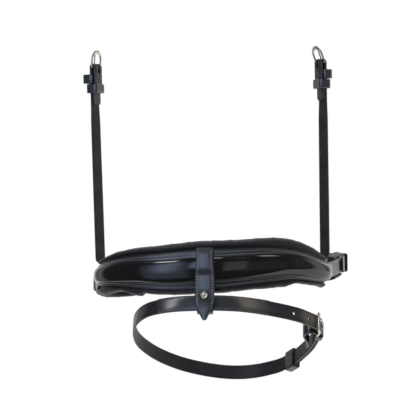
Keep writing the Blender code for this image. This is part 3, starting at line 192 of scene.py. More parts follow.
def wander(place: np.ndarray, seed: float, pitch: float) -> np.ndarray:
    """A smooth uneven value between about -1 and 1: four sines whose rates share no common step."""
    place = np.asarray(place, float) * (2 * math.pi / pitch)
    parts = (1.0, 0.0), (0.618, 1.7), (1.414, 4.1), (0.283, 2.6)
    return sum(np.sin(place * rate + seed * 3.1 + shift) for rate, shift in parts) / 2.6


class Ring:
    """A closed route measured by its arc length from its first point."""

    def __init__(self, points: Sequence, up: Optional[Callable] = None):
        """Starts the route through the points, upright unless its up directions are given.

        Args:
            points: points of the route, in order.
            up: its up direction by arc length.
        """
        dense = smooth_ring(points)
        self.points = np.concatenate([dense, dense[:1]])
        self.arcs = run_length(self.points)
        self.length = float(self.arcs[-1])
        self.up = up or (lambda arc: np.broadcast_to([0.0, 0.0, 1.0], (*np.shape(arc), 3)))

    def signed(self, arc: np.ndarray) -> np.ndarray:
        """Arc lengths counted both ways from the first point."""
        return np.mod(np.asarray(arc, float) + self.length / 2, self.length) - self.length / 2

    def spot(self, arc: np.ndarray) -> np.ndarray:
        """The points at these arc lengths."""
        return read_rows(np.mod(np.asarray(arc, float), self.length), self.arcs, self.points)

    def axes(self, arc: np.ndarray) -> tuple:
        """Tangent, outward normal and width direction at these arc lengths.

        Args:
            arc: arc lengths.

        Returns:
            The directions, in rows.
        """
        reach = self.length / len(self.points)
        arc = np.asarray(arc, float)
        tangent = unit(self.spot(arc + reach) - self.spot(arc - reach))
        outward = unit(np.cross(tangent, self.up(arc)))
        return tangent, outward, np.cross(outward, tangent)

    def place(self, arc: np.ndarray, out: np.ndarray = 0.0, high: np.ndarray = 0.0) -> np.ndarray:
        """Points at these arcs, moved outward and along the width."""
        _, outward, width = self.axes(arc)
        out, high = (np.asarray(value, float)[..., None] for value in (out, high))
        return self.spot(arc) + outward * out + width * high


# Finishes


class Kind(Enum):
    """What a finish is made of."""

    LEATHER = "leather"
    PATENT = "patent"
    PADDED = "padded"
    FLESH = "flesh"
    THREAD = "thread"
    METAL = "metal"
    FOAM = "foam"


@dataclass(frozen=True)
class Finish:
    """One procedural finish.

    Attributes:
        name: name of the material.
        kind: which node set-up it uses.
        colour: base colour, linear.
        shade: colour of the darker or lighter mottling. In leather, half again as light, it also paints the
            edges lighter, partly as burnish and partly as a painted highlight along the edge. In thread it
            paints glints along the twist.
        rough: roughness of the plain surface.
        grain: depth of the grain's bump in metres.
        coat: weight of the wax coat, where it has one.
    """

    name: str
    kind: Kind
    colour: tuple
    shade: tuple
    rough: float
    grain: float
    coat: float = 0.45

    def darker(self, share: float) -> tuple:
        """The base colour at a share of its level."""
        return tuple(level * share for level in self.colour)


# Shade colours of the leathers. They give the mottling and, half again as light, the lighter edges, which are
# partly burnish and partly a painted edge highlight.
WAX_MOTTLE_AND_EDGE_SHEEN, BURNISH_AND_EDGE_SHEEN = (0.011, 0.0125, 0.0175), (0.010, 0.011, 0.014)
BRIDLE = Finish("bridle_leather", Kind.LEATHER, (0.0055, 0.0062, 0.0092), WAX_MOTTLE_AND_EDGE_SHEEN, 0.42, 0.00006)
# A lighter, bluer copy of the bridle leather for the tab: painted sheen for the broad light that the tab
# catches.
TAB_SHEEN_LEATHER = Finish("tab_leather", Kind.LEATHER, (0.010, 0.013, 0.018), (0.020, 0.025, 0.033), 0.44, 0.00006)
KEEPER_LEATHER = Finish("keeper_leather", Kind.LEATHER, (0.0060, 0.0068, 0.0105), WAX_MOTTLE_AND_EDGE_SHEEN, 0.30, 0.00003, 0.95)
EDGE_LEATHER = Finish("shaped_leather", Kind.LEATHER, (0.0055, 0.0060, 0.0080), BURNISH_AND_EDGE_SHEEN, 0.36, 0.00004)
FLESH = Finish("flesh_side", Kind.FLESH, (0.0125, 0.0105, 0.0085), (0.021, 0.018, 0.015), 0.62, 0.0001)
PATENT = Finish("patent", Kind.PATENT, (0.004, 0.004, 0.005), (0.006, 0.006, 0.007), 0.05, 0.00002)
LINING = Finish("lining_leather", Kind.PADDED, (0.0070, 0.0075, 0.0095), (0.013, 0.0135, 0.016), 0.46, 0.0001)
# Thread grey: partly the thread's own tone, partly painted glints of the waxed thread. Its lighter shade
# paints glints along the twist.
THREAD = Finish("waxed_thread", Kind.THREAD, (0.19, 0.20, 0.22), (0.46, 0.47, 0.50), 0.30, 0.00005)
INNER = Finish("inner_side", Kind.FLESH, (0.0080, 0.0090, 0.0125), (0.0125, 0.014, 0.0185), 0.52, 0.00006)
SILVER = Finish("nickel_silver", Kind.METAL, (0.72, 0.68, 0.61), (0.60, 0.56, 0.49), 0.20, 0.00002)
BRIGHT = Finish("bright_stud", Kind.METAL, (0.95, 0.91, 0.82), (0.86, 0.81, 0.71), 0.30, 0.00002)
FOAM = Finish("closed_foam", Kind.FOAM, (0.20, 0.20, 0.21), (0.26, 0.26, 0.27), 0.85, 0.0001)


class Graph:
    """A node tree with short calls for adding and joining nodes."""

    def __init__(self, name: str, owner: Optional[bpy.types.World] = None):
        """Starts the tree of a new material, or of the world that owns it.

        Args:
            name: the material's name.
            owner: the world, if it is one.
        """
        self.owner = owner or bpy.data.materials.new(name)
        self.owner.use_nodes = True
        self.tree = self.owner.node_tree
        self.shader = self.tree.nodes.get("Principled BSDF")

    def node(self, kind: str, inputs: Optional[dict] = None, **settings: Any) -> bpy.types.Node:
        """Adds a node.

        Args:
            kind: its type.
            inputs: sockets or values for its inputs.
            settings: values of its properties.

        Returns:
            The node.
        """
        node = self.tree.nodes.new(kind)
        for key, value in settings.items():
            setattr(node, key, value)
        for key, value in (inputs or {}).items():
            self.feed(node.inputs[key], value)
        return node

    def feed(self, socket: Socket, value: Any) -> None:
        """Joins a socket to another socket, or sets its value.

        Args:
            socket: the input.
            value: a socket or a plain value.
        """
        if isinstance(value, Socket):
            self.tree.links.new(value, socket)
        else:
            socket.default_value = value

    def dress(self, **inputs: Any) -> None:
        """Feeds the shader's inputs, named in small letters with underscores."""
        sockets = {socket.name.lower().replace(" ", "_"): socket for socket in self.shader.inputs}
        for key, value in inputs.items():
            self.feed(sockets[key], value)

    def coords(self, kind: str = "Object") -> Socket:
        """The coordinates that a pattern lies on."""
        return self.node("ShaderNodeTexCoord").outputs[kind]

    def math(self, operation: str, *values: Any) -> Socket:
        """A Math node's result."""
        return self.node("ShaderNodeMath", dict(enumerate(values)), operation=operation).outputs[0]

    def vector(self, operation: str, result: int, inputs: dict) -> Socket:
        """A Vector Math node's result."""
        return self.node("ShaderNodeVectorMath", inputs, operation=operation).outputs[result]

    def mapped(self, value: Socket, low: float, high: float, to_low: float, to_high: float) -> Socket:
        """A value mapped from one range to another, smoothly and clamped."""
        inputs = dict(enumerate((value, low, high, to_low, to_high)))
        return self.node("ShaderNodeMapRange", inputs, interpolation_type="SMOOTHSTEP").outputs[0]

    def mix(self, share: Any, first: Any, second: Any) -> Socket:
        """A mix of two colours.

        Args:
            share: how much of the second.
            first: a colour or the socket of one.
            second: another.

        Returns:
            The mixed colour.
        """
        node = self.node("ShaderNodeMix", {"Factor": share}, data_type="RGBA")
        colours = [socket for socket in node.inputs if socket.type == "RGBA"]
        for socket, value in zip(colours, (first, second)):
            self.feed(socket, value if isinstance(value, Socket) else (*value, 1.0))
        return [socket for socket in node.outputs if socket.type == "RGBA"][0]

    def noise(self, scale: float, detail: float = 4.0, rough: float = 0.55, stretch: tuple = WHITE) -> Socket:
        """A noise value over the object's own coordinates.

        Args:
            scale: waves to a metre.
            detail: octaves.
            rough: weight of the finer octaves.
            stretch: scale of each axis.

        Returns:
            The value.
        """
        coords = self.coords()
        if stretch != WHITE:
            coords = self.node("ShaderNodeMapping", {"Vector": coords, "Scale": stretch}).outputs[0]
        inputs = {"Vector": coords, "Scale": scale, "Detail": detail, "Roughness": rough}
        return self.node("ShaderNodeTexNoise", inputs).outputs["Fac"]

    def cells(self, scale: float, feature: str = "F1") -> Socket:
        """Distance to the nearest cell point."""
        inputs = {"Vector": self.coords(), "Scale": scale}
        return self.node("ShaderNodeTexVoronoi", inputs, feature=feature).outputs["Distance"]

    def bump(self, height: Socket, depth: float, strength: float, under: Optional[Socket] = None) -> Socket:
        """A bump of the given depth, over another normal if there is one.

        Args:
            height: the relief.
            depth: its depth in metres.
            strength: how much of it shows.
            under: the normal below it.

        Returns:
            The normal.
        """
        inputs = {"Height": height, "Distance": depth, "Strength": strength}
        if under is not None:
            inputs["Normal"] = under
        return self.node("ShaderNodeBump", inputs).outputs[0]


def finish_leather(graph: Graph, finish: Finish) -> None:
    """Waxed bridle leather with fine grain and lighter edges, partly burnished and partly a painted highlight
    along the rounded edge.

    Args:
        graph: the material's nodes.
        finish: its colours and depths.
    """
    layout = graph.node("ShaderNodeUVMap", uv_map="strap").outputs[0]
    across = graph.node("ShaderNodeSeparateXYZ", {0: layout}).outputs["Y"]
    broad, hairs = graph.noise(scale=38.0, detail=5.0), graph.noise(scale=900.0, detail=3.0)
    pores, creases = graph.cells(scale=1350.0), graph.noise(scale=210.0, detail=5.0, rough=0.62)
    # Painted highlight: the edges across the strap are painted lighter, partly burnish and partly the sheen
    # along the rounded edge.
    edge_burnish_and_sheen = graph.mapped(graph.math("ABSOLUTE", across), 0.90, 0.985, 0.0, 0.55)
    base = graph.mix(graph.mapped(broad, 0.35, 0.68, 0.0, 0.75), finish.colour, finish.shade)
    base = graph.mix(graph.mapped(pores, 0.05, 0.34, 0.35, 0.0), base, finish.darker(0.45))
    base = graph.mix(edge_burnish_and_sheen, base, tuple(level * 1.5 for level in finish.shade))
    rough = graph.mapped(broad, 0.3, 0.7, finish.rough - 0.05, finish.rough + 0.09)
    rough = graph.math("ADD", rough, graph.math("MULTIPLY", hairs, 0.06))
    normal = graph.bump(pores, finish.grain, 0.55)
    normal = graph.bump(creases, finish.grain * 2.2, 0.45, normal)
    graph.dress(base_color=base, roughness=rough, normal=normal, specular_ior_level=0.42,
                coat_weight=finish.coat, coat_roughness=0.22, coat_ior=2.0)


def finish_patent(graph: Graph, finish: Finish) -> None:
    """Lacquered leather: a clear gloss coat over black with a faint ripple.

    Args:
        graph: the material's nodes.
        finish: its colours and depths.
    """
    ripple, specks = graph.noise(scale=55.0, detail=2.0, rough=0.4), graph.noise(scale=700.0, detail=2.0)
    graph.dress(base_color=graph.mix(specks, finish.colour, finish.shade),
                roughness=graph.mapped(ripple, 0.3, 0.7, finish.rough, finish.rough + 0.025),
                normal=graph.bump(ripple, 0.0009, 0.10), coat_weight=0.55, coat_roughness=0.03)


def finish_padded(graph: Graph, finish: Finish) -> None:
    """Soft glove leather over padding, with fine wrinkles whose hollows are painted darker as shade, and a
    matt face.

    Args:
        graph: the material's nodes.
        finish: its colours and depths.
    """
    broad, grain = graph.noise(scale=30.0), graph.cells(scale=820.0, feature="SMOOTH_F1")
    wrinkles = graph.noise(scale=120.0, detail=6.0, rough=0.66, stretch=(1.0, 1.0, 2.6))
    base = graph.mix(graph.mapped(broad, 0.35, 0.7, 0.0, 0.8), finish.colour, finish.shade)
    # Painted shade: the wrinkles' hollows, where the bump is lowest, are mixed darker.
    base = graph.mix(graph.mapped(wrinkles, 0.30, 0.46, 0.5, 0.0), base, finish.darker(0.5))
    normal = graph.bump(wrinkles, finish.grain * 3.0, 0.5, graph.bump(grain, finish.grain, 0.6))
    graph.dress(base_color=base, normal=normal, sheen_weight=0.08,
                roughness=graph.mapped(grain, 0.1, 0.6, finish.rough - 0.04, finish.rough + 0.12))


def finish_flesh(graph: Graph, finish: Finish) -> None:
    """Flesh side of the strap: duller, browner and napped.

    Args:
        graph: the material's nodes.
        finish: its colours and depths.
    """
    nap, broad = graph.noise(scale=1100.0, detail=6.0, rough=0.7), graph.noise(scale=60.0)
    graph.dress(base_color=graph.mix(graph.mapped(broad, 0.3, 0.7, 0.0, 1.0), finish.colour, finish.shade),
                roughness=graph.mapped(nap, 0.3, 0.7, finish.rough - 0.1, finish.rough + 0.1),
                normal=graph.bump(nap, finish.grain, 0.5))


def finish_thread(graph: Graph, finish: Finish) -> None:
    """Waxed thread with its twist. Its grey is partly its own tone and partly a painted glint, and the
    lighter twist bands are painted glints.

    Args:
        graph: the material's nodes.
        finish: its colours and depths.
    """
    inputs = {"Vector": graph.coords(), "Scale": 1900.0, "Distortion": 2.0}
    waves = graph.node("ShaderNodeTexWave", inputs, bands_direction="DIAGONAL").outputs["Fac"]
    # Painted glints: the twist's waves mix in the lighter shade.
    graph.dress(base_color=graph.mix(waves, finish.colour, finish.shade),
                roughness=graph.mapped(waves, 0.0, 1.0, finish.rough - 0.06, finish.rough + 0.1),
                normal=graph.bump(waves, finish.grain, 0.6),
                coat_weight=1.0, coat_roughness=0.15, coat_ior=2.2)


def finish_metal(graph: Graph, finish: Finish) -> None:
    """Polished cast metal with faint tumbling marks and duller hollows.

    Args:
        graph: the material's nodes.
        finish: its colours and depths.
    """
    cast = graph.noise(scale=420.0)
    marks = graph.noise(scale=1500.0, detail=3.0, rough=0.6, stretch=(1.0, 1.0, 5.0))
    graph.dress(base_color=graph.mix(graph.mapped(cast, 0.4, 0.75, 0.0, 0.6), finish.colour, finish.shade),
                roughness=graph.mapped(marks, 0.3, 0.75, finish.rough, finish.rough + 0.12),
                normal=graph.bump(cast, finish.grain, 0.4), metallic=1.0)


def finish_foam(graph: Graph, finish: Finish) -> None:
    """Closed-cell foam."""
    cells = graph.cells(scale=1300.0)
    graph.dress(base_color=graph.mix(cells, finish.colour, finish.shade), roughness=finish.rough,
                normal=graph.bump(cells, finish.grain, 0.6))


FINISHERS = {
    Kind.LEATHER: finish_leather,
    Kind.PATENT: finish_patent,
    Kind.PADDED: finish_padded,
    Kind.FLESH: finish_flesh,
    Kind.THREAD: finish_thread,
    Kind.METAL: finish_metal,
    Kind.FOAM: finish_foam,
}
_MADE: dict = {}


def material(finish: Finish) -> bpy.types.Material:
    """The finish's material, made once.

    Args:
        finish: its colours and depths.

    Returns:
        The material, made once.
    """
    if finish.name not in _MADE:
        graph = Graph(finish.name)
        FINISHERS[finish.kind](graph, finish)
        _MADE[finish.name] = graph.owner
    return _MADE[finish.name]


# Skins: pieces lofted through rings of points


def rows_of(*columns: Any) -> np.ndarray:
    """Rows made of columns, each an array or one value for every row."""
    return np.stack(np.broadcast_arrays(*columns), -1)


def placed(name: str, mesh: bpy.types.Mesh) -> Piece:
    """A linked object of the mesh."""
    obj = bpy.data.objects.new(name, mesh)
    bpy.context.scene.collection.objects.link(obj)
    return obj


def rounded(share: float, count: int) -> tuple:
    """Quarter ellipse of a strap's corner."""
    turn = quarter(count)
    return -share * (1 - np.cos(turn)), 1 - share + share * np.sin(turn)


@dataclass(frozen=True)
class StrapSection:
    """Cross-section of a strap, laid out from its edges so that it suits any width.

    Attributes:
        round_face: share of the half thickness that is rounded off at the face.
        round_back: the same at the back.
        crease_in: distance of the creased line from each edge.
        crease_deep: depth of that line.
        crown: how far the face's edges lie under its middle.
        crease: offset and share of the depth for each point across the creased line.
    """

    round_face: float = 0.9
    round_back: float = 0.55
    crease_in: float = 0.0017
    crease_deep: float = 0.00016
    crown: float = 0.00012
    crease: tuple = ((0.00042, 0.0), (0.00018, 0.75), (0.0, 1.0), (-0.00018, 0.75), (-0.00042, 0.0))

    def columns(self) -> np.ndarray:
        """Lays out the section from the right edge over the face and back under it.

        Returns:
            Rows of (width share, offset, offset per half thickness, thickness share, rise).
        """
        inset, level = rounded(self.round_face, 6)
        edge = rows_of(1.0, 0.0, inset, level, -self.crown * np.sin(quarter(6)))
        off, deep = np.array(self.crease).T
        crease = rows_of(1.0, off - self.crease_in, 0.0, 1.0, -self.crown * 0.7 - deep * self.crease_deep)
        share = np.array([0.5, 0.25])
        face = np.vstack([edge, crease, rows_of(share, 0.0, 0.0, 1.0, -self.crown * share**2)])
        inset, level = rounded(self.round_back, 5)
        back = np.vstack([rows_of(-1.0, 0.0, -inset, -level, 0.0), (-0.5, 0.0, 0.0, -1.0, 0.0)])
        over, under, mirror = (0, 0, 0, 1, 0), (0, 0, 0, -1, 0), (-1, -1, -1, 1, 1)
        return np.vstack([face, over, face[::-1] * mirror, back, under, back[::-1] * mirror])


PLAIN = StrapSection()
SOFT_EDGE = StrapSection(round_face=1.0, round_back=0.8, crease_in=0.0015, crease_deep=0.00010)
THIN = StrapSection(round_face=1.0, round_back=0.4, crease_in=0.0013, crease_deep=0.00008, crown=0.00005)
TAB = StrapSection(round_face=0.9, round_back=0.6, crease_in=0.0015, crease_deep=0.00012, crown=0.00025)


@dataclass
class Skin:
    """Rings of points with the layout that the finishes read.

    Attributes:
        rows: (stations, around, 3) points.
        along: distance along for each station.
        across: place across the strap, -1 to 1, for each point.
        closed: whether the last station joins the first.
        back_from: index of the first point of the back, where it has one.
    """

    rows: np.ndarray
    along: np.ndarray
    across: np.ndarray
    closed: bool = False
    back_from: int = 0

    def faces(self) -> tuple:
        """Quads between neighbouring rings, and a flat face over each open end, all facing out.

        Returns:
            The faces as index rows, and how many of them are quads between rings.
        """
        stations, around = self.rows.shape[:2]
        last = stations if self.closed else stations - 1
        here = np.arange(last)[:, None] * around
        after = (np.arange(1, last + 1)[:, None] % stations) * around
        j, k = np.arange(around), np.roll(np.arange(around), -1)
        quads = np.stack([here + j, here + k, after + k, after + j], -1).reshape(-1, 4)
        faces = quads.tolist()
        if not self.closed:
            faces += [j[::-1].tolist(), (j + (stations - 1) * around).tolist()]
        points = self.rows.reshape(-1, 3)
        a, b, c, d = (points[quads[:, corner]] - points.mean(0) for corner in range(4))
        volume = (a * (np.cross(b, c) + np.cross(c, d))).sum()
        return [face[::-1] for face in faces] if volume < 0 else faces, len(quads)

    def build(self, name: str, finish: Finish, back: Optional[Finish] = None) -> Piece:
        """Makes the object.

        Args:
            name: the piece's name.
            finish: what its face and edges are finished with.
            back: finish of its back, if another.

        Returns:
            The linked object.
        """
        stations, around = self.rows.shape[:2]
        faces, sides = self.faces()
        mesh = bpy.data.meshes.new(name)
        mesh.from_pydata(self.rows.reshape(-1, 3).tolist(), [], faces)
        index = np.empty(len(mesh.loops), np.int32)
        mesh.loops.foreach_get("vertex_index", index)
        layout = rows_of(self.along[:, None], np.broadcast_to(self.across, (stations, around)))
        uvs = layout.reshape(-1, 2)[index].astype(np.float32)
        mesh.uv_layers.new(name="strap").data.foreach_set("uv", uvs.ravel())
        mesh.materials.append(material(finish))
        if back is not None:
            mesh.materials.append(material(back))
            place = np.arange(around)
            slots = np.zeros(len(faces), np.int32)
            slots[:sides] = np.tile((place > self.back_from) & (place < around - 2), sides // around)
            mesh.polygons.foreach_set("material_index", slots)
        mesh.shade_smooth()
        mesh.set_sharp_from_angle(angle=SHARP_ANGLE)
        return placed(name, mesh)


def strap_skin(
    centres: np.ndarray, widths: np.ndarray, half_width: Any, half_thick: Any,
    section: StrapSection = PLAIN, flip: bool = False,
) -> Skin:
    """A strap: its section carried along its centres, narrowed and thinned where it tapers.

    Args:
        centres: rows of middle points.
        widths: width direction, one or one per row.
        half_width: half width, one or one per row.
        half_thick: half thickness, one or one per row.
        section: the cross-section.
        flip: puts the face on the other side.

    Returns:
        The strap's skin.
    """
    sign = -1.0 if flip else 1.0
    along = tangents(centres)
    outward = sign * unit(np.cross(along, np.broadcast_to(widths, centres.shape)))
    widths = sign * unit(np.cross(outward, along))
    half = np.broadcast_to(half_width, len(centres))[:, None]
    thick = np.broadcast_to(half_thick, len(centres))[:, None]
    share, offset, per_thick, level, rise = section.columns().T
    narrow = np.clip(half / (section.crease_in * 1.6), 0.0, 1.0)
    thin = np.clip(thick / 0.0008, 0.0, 1.0)
    high = share * half + (offset + per_thick * thick) * narrow
    out = level * thick + rise * narrow * thin
    rows = centres[:, None, :] + outward[:, None, :] * out[..., None] + widths[:, None, :] * high[..., None]
    return Skin(rows, run_length(centres), high / np.maximum(half, 1e-6), back_from=int(np.argmax(level < 0)))


def rod_skin(
    path: np.ndarray, side: Any, half_side: Any, half_cross: Any, around: int, closed: bool = False
) -> Skin:
    """A smooth rod: an ellipse carried along its path.

    Args:
        path: rows of middle points.
        side: one of its cross directions, one or one per row.
        half_side: half size that way, one or one per row.
        half_cross: half size the other way, one or one per row.
        around: points in each ring.
        closed: whether the path is a ring.

    Returns:
        The rod's skin.
    """
    along = tangents(path, closed)
    cross = unit(np.cross(along, np.broadcast_to(side, path.shape)))
    turn = 2 * math.pi * np.arange(around) / around
    far = np.cos(turn) * np.broadcast_to(half_side, len(path))[:, None]
    wide = np.sin(turn) * np.broadcast_to(half_cross, len(path))[:, None]
    level = np.cross(cross, along)
    rows = path[:, None, :] + level[:, None, :] * far[..., None] + cross[:, None, :] * wide[..., None]
    return Skin(rows, run_length(path), np.cos(turn), closed)


def turned_skin(centre: np.ndarray, axis: np.ndarray, profile: np.ndarray, around: int = 40) -> Skin:
    """A solid of revolution from (height, radius) rows.

    Args:
        centre: where the axis starts.
        axis: its direction.
        profile: rows of (distance along it, radius).
        around: points around.

    Returns:
        The skin.
    """
    turn = 2 * math.pi * np.arange(around) / around
    circle = X_AXIS * np.cos(turn)[:, None] + np.cross(axis, X_AXIS) * np.sin(turn)[:, None]
    rows = centre + axis * profile[:, 0, None, None] + circle * profile[:, 1, None, None]
    return Skin(rows, run_length(profile), np.cos(turn))


def seat(obj: Piece, body: str, *nodes: str) -> Piece:
    """Puts a finished piece on its body.

    Args:
        obj: the piece.
        body: the body that it rides on.
        nodes: nodes of the frame that it stands for, which are hidden; a piece may have none.

    Returns:
        The piece.
    """
    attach(obj, body)
    if nodes:
        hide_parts(*nodes)
    return obj


def carve(obj: Piece, cutters: Sequence) -> None:
    """Takes the cutters' shapes out of a piece for good, and removes the cutters.

    Args:
        obj: the piece.
        cutters: what is taken out of it.
    """
    for tool in cutters:
        modifier = obj.modifiers.new("carve", "BOOLEAN")
        modifier.operation, modifier.solver, modifier.object = "DIFFERENCE", "EXACT", tool
    carved = bpy.data.meshes.new_from_object(obj.evaluated_get(bpy.context.evaluated_depsgraph_get()))
    obj.modifiers.clear()
    carved.name = obj.name
    obj.data = carved
    for tool in cutters:
        bpy.data.objects.remove(tool, do_unlink=True)


def cutter(centre: Sequence, axes: Sequence, halves: Sequence, sides: int = 0) -> Piece:
    """A tool for carve.

    Args:
        centre: its middle.
        axes: its three directions.
        halves: half its size along each.
        sides: sides of a round tool along the third direction; with none it is a box.

    Returns:
        The tool, with its faces turned out.
    """
    work = bmesh.new()
    if sides:
        bmesh.ops.create_cone(work, cap_ends=True, segments=sides, radius1=1.0, radius2=1.0, depth=2.0)
    else:
        bmesh.ops.create_cube(work, size=2.0)
    turn = Matrix([list(axis) for axis in axes]).transposed().to_4x4()
    matrix = Matrix.Translation(Vector(centre)) @ turn @ Matrix.Diagonal((*halves, 1.0))
    bmesh.ops.transform(work, matrix=matrix, verts=work.verts)
    bmesh.ops.recalc_face_normals(work, faces=work.faces)
    mesh = bpy.data.meshes.new("cutter")
    work.to_mesh(mesh)
    work.free()
    return placed("cutter", mesh)


def punch(
    centre: Sequence, axis: Sequence, radius: float, deep: float, stretch: Optional[Sequence] = None
) -> Piece:
    """A round punch for carve.

    Args:
        centre: its middle.
        axis: the direction that it cuts in.
        radius: its radius.
        deep: half its depth.
        stretch: direction in which an oval punch is longer, if it is oval.

    Returns:
        The tool.
    """
    axis = Vector(axis).normalized()
    first = axis.orthogonal() if stretch is None else Vector(stretch)
    first = (first - axis * first.dot(axis)).normalized()
    long_radius = radius if stretch is None else radius * 1.7
    return cutter(centre, (first, axis.cross(first), axis), (long_radius, radius, deep), 28)


def keeper_skin(path: np.ndarray, half_long: float, half_thick: float, closed: bool) -> Skin:
    """A keeper: a creased band with rounded edges, carried along its path.

    Args:
        path: rows of (width, out) places.
        half_long: half its length along the strap.
        half_thick: half its thickness.
        closed: whether it goes all the way round.

    Returns:
        Its skin in (along, out, width) axes.
    """
    step = tangents(path, closed)
    round_by, crease = half_thick * 0.8, half_long - 0.0013
    turn = quarter(5)
    corner = rows_of(half_long - round_by * (1 - np.cos(turn)), half_thick - round_by * (1 - np.sin(turn)))
    line = (crease + 0.0003, half_thick), (crease, half_thick - 0.0001), (crease - 0.0003, half_thick)
    face = np.vstack([corner, line, (crease * 0.4, half_thick * 1.02)])
    face = np.vstack([face, face[::-1] * (-1.0, 1.0)])
    back = face[::-1] * (1.0, -1.0)
    back = back[(np.abs(back[:, 0]) > crease + 0.0002) | (back[:, 0] > 0)]
    along, lift = np.vstack([face, back]).T
    out = path[:, 1, None] - step[:, 0, None] * lift
    wide = path[:, 0, None] + step[:, 1, None] * lift
    return Skin(rows_of(along, out, wide), run_length(path), along / half_long, closed)


def loop_path(side: float, low: float, high: float, corner: float) -> np.ndarray:
    """Rounded rectangle of a closed keeper.

    Args:
        side: half its width.
        low: its inner side.
        high: its outer side.
        corner: radius of its corners.

    Returns:
        Rows of (width, out) places.
    """
    turn = quarter(7) + np.arange(4)[:, None] * math.pi / 2
    at = (side - corner) * np.array([1, -1, -1, 1])[:, None]
    out = np.array([high - corner, high - corner, low + corner, low + corner])[:, None]
    return filled(rows_of(at + corner * np.cos(turn), out + corner * np.sin(turn)).reshape(-1, 2), 0.0011)


def open_path(side: float, outer: float, tuck: float, corner: float) -> np.ndarray:
    """Path of a keeper whose two ends turn in between the plies.

    Args:
        side: half its width.
        outer: its outer side.
        tuck: how far its ends reach in.
        corner: size of its corners.

    Returns:
        Rows of (width, out) places.
    """
    near = corner * 0.3
    half = np.array([
        (side - tuck - corner, 0.0), (side - corner, 0.0), (side - near, near), (side, corner),
        (side, outer - corner), (side - near, outer - near), (side - corner, outer),
    ])
    return evenly(np.vstack([half, half[::-1] * (-1.0, 1.0)]), 0.0006)


def stitches(name: str, points: np.ndarray, normals: np.ndarray, radius: float) -> Piece:
    """Stitches along a line: slanted grains of thread that sink in at both ends.

    Args:
        name: the piece's name.
        points: dense rows on the surface.
        normals: the surface's normal at each row.
        radius: the thread's radius.

    Returns:
        The stitches as one object.
    """
    pitch, fill, slant, steps, around = 0.0027, 0.42, 0.3, 7, 8
    down = run_length(points)
    count = max(2, int(down[-1] / pitch))
    places = (np.arange(count) + 0.5) * down[-1] / count
    tangent, normal = (unit(read_rows(places, down, rows)) for rows in (tangents(points), normals))
    long = unit(tangent + unit(np.cross(normal, tangent)) * slant)
    side = unit(np.cross(normal, long))
    share = np.linspace(-1.0, 1.0, steps)[:, None]
    swell = np.sqrt(np.clip(1 - share**2, 0.02, 1.0)) ** 0.7 * radius
    turn = 2 * math.pi * np.arange(around) / around
    reach = np.broadcast_to(share * pitch * fill / 2, (steps, around))
    lift = np.sin(turn) * swell * 0.8 - share**2 * radius * 0.75
    rows = read_rows(places, down, points)[:, None, None, :] + sum(
        axis[:, None, None, :] * size[None, :, :, None]
        for axis, size in ((long, reach), (normal, lift), (side, np.cos(turn) * swell))
    )
    ring = np.arange(count * steps * around).reshape(count, steps, around)
    after = np.roll(ring, -1, axis=2)
    sides = np.stack([ring[:, :-1], after[:, :-1], after[:, 1:], ring[:, 1:]], -1).reshape(-1, 4)
    mesh = bpy.data.meshes.new(name)
    faces = sides.tolist() + ring[:, 0, ::-1].tolist() + ring[:, -1].tolist()
    mesh.from_pydata(rows.reshape(-1, 3).tolist(), [], faces)
    work = bmesh.new()
    work.from_mesh(mesh)
    bmesh.ops.recalc_face_normals(work, faces=work.faces)
    work.to_mesh(mesh)
    work.free()
    mesh.materials.append(material(THREAD))
    mesh.shade_smooth()
    return placed(name, mesh)


# The ring of the noseband and the shaped nosepiece on it


@dataclass(frozen=True)
class NoseRing:
    """Route of the noseband round the nose and jaw, through the middle of the base leather."""

    nose_half_width: float = 0.1155
    nose_depth: float = 0.072
    jaw_half_width: float = 0.1255
    jaw_depth: float = 0.088
    level: float = -0.2112
    pitch: float = 0.0082
    roll: float = 0.0013
    jaw_fall: float = 0.0075
    jaw_rise: float = 0.0068
    jaw_shares: tuple = (
        (0.970, 0.284), (1.0, 0.545), (0.984, 0.733), (0.912, 0.875), (0.765, 0.955),
        (0.52, 0.993), (0.26, 1.0),
    )
    wave_rise: float = 0.0033
    wave_shares: tuple = (
        (-1.05, 0.0), (-0.62, 0.33), (-0.25, -0.3), (0.02, 0.0), (0.54, 1.0), (0.87, -0.85), (1.05, 0.0),
    )

    def heights(self, across: np.ndarray, along: np.ndarray) -> np.ndarray:
        """Heights of the ring: pitched and rolled over the nose, and risen towards the jaw.

        Args:
            across: places across the head.
            along: places from front to back.

        Returns:
            The heights at those places.
        """
        level = self.level - self.pitch * along / self.nose_depth + self.roll * across / self.nose_half_width
        behind, side = np.maximum(along, 0.0) / self.jaw_depth, across / self.jaw_half_width
        return level + behind * (self.jaw_rise * (1.5 + side) - self.jaw_fall * (1 - side) / 2)

    def build(self) -> Ring:
        """A quarter ellipse over the nose and the jaw's outline behind it, as a measured ring.

        Returns:
            The ring.
        """
        turn = np.linspace(0.0, math.pi / 2, 7)
        nose = rows_of(self.nose_half_width * np.sin(turn), -self.nose_depth * np.cos(turn))
        right = np.vstack([nose, np.multiply(self.jaw_shares, (self.jaw_half_width, self.jaw_depth))])
        plan = np.vstack([right, (0.0, self.jaw_depth), right[:0:-1] * (-1.0, 1.0)])
        ring = Ring(np.column_stack([plan, self.heights(*plan.T)]))
        ring.points[:, 2] += self.wave_rise * eased(ring.signed(ring.arcs) / HANGER_ARC, self.wave_shares)
        return ring


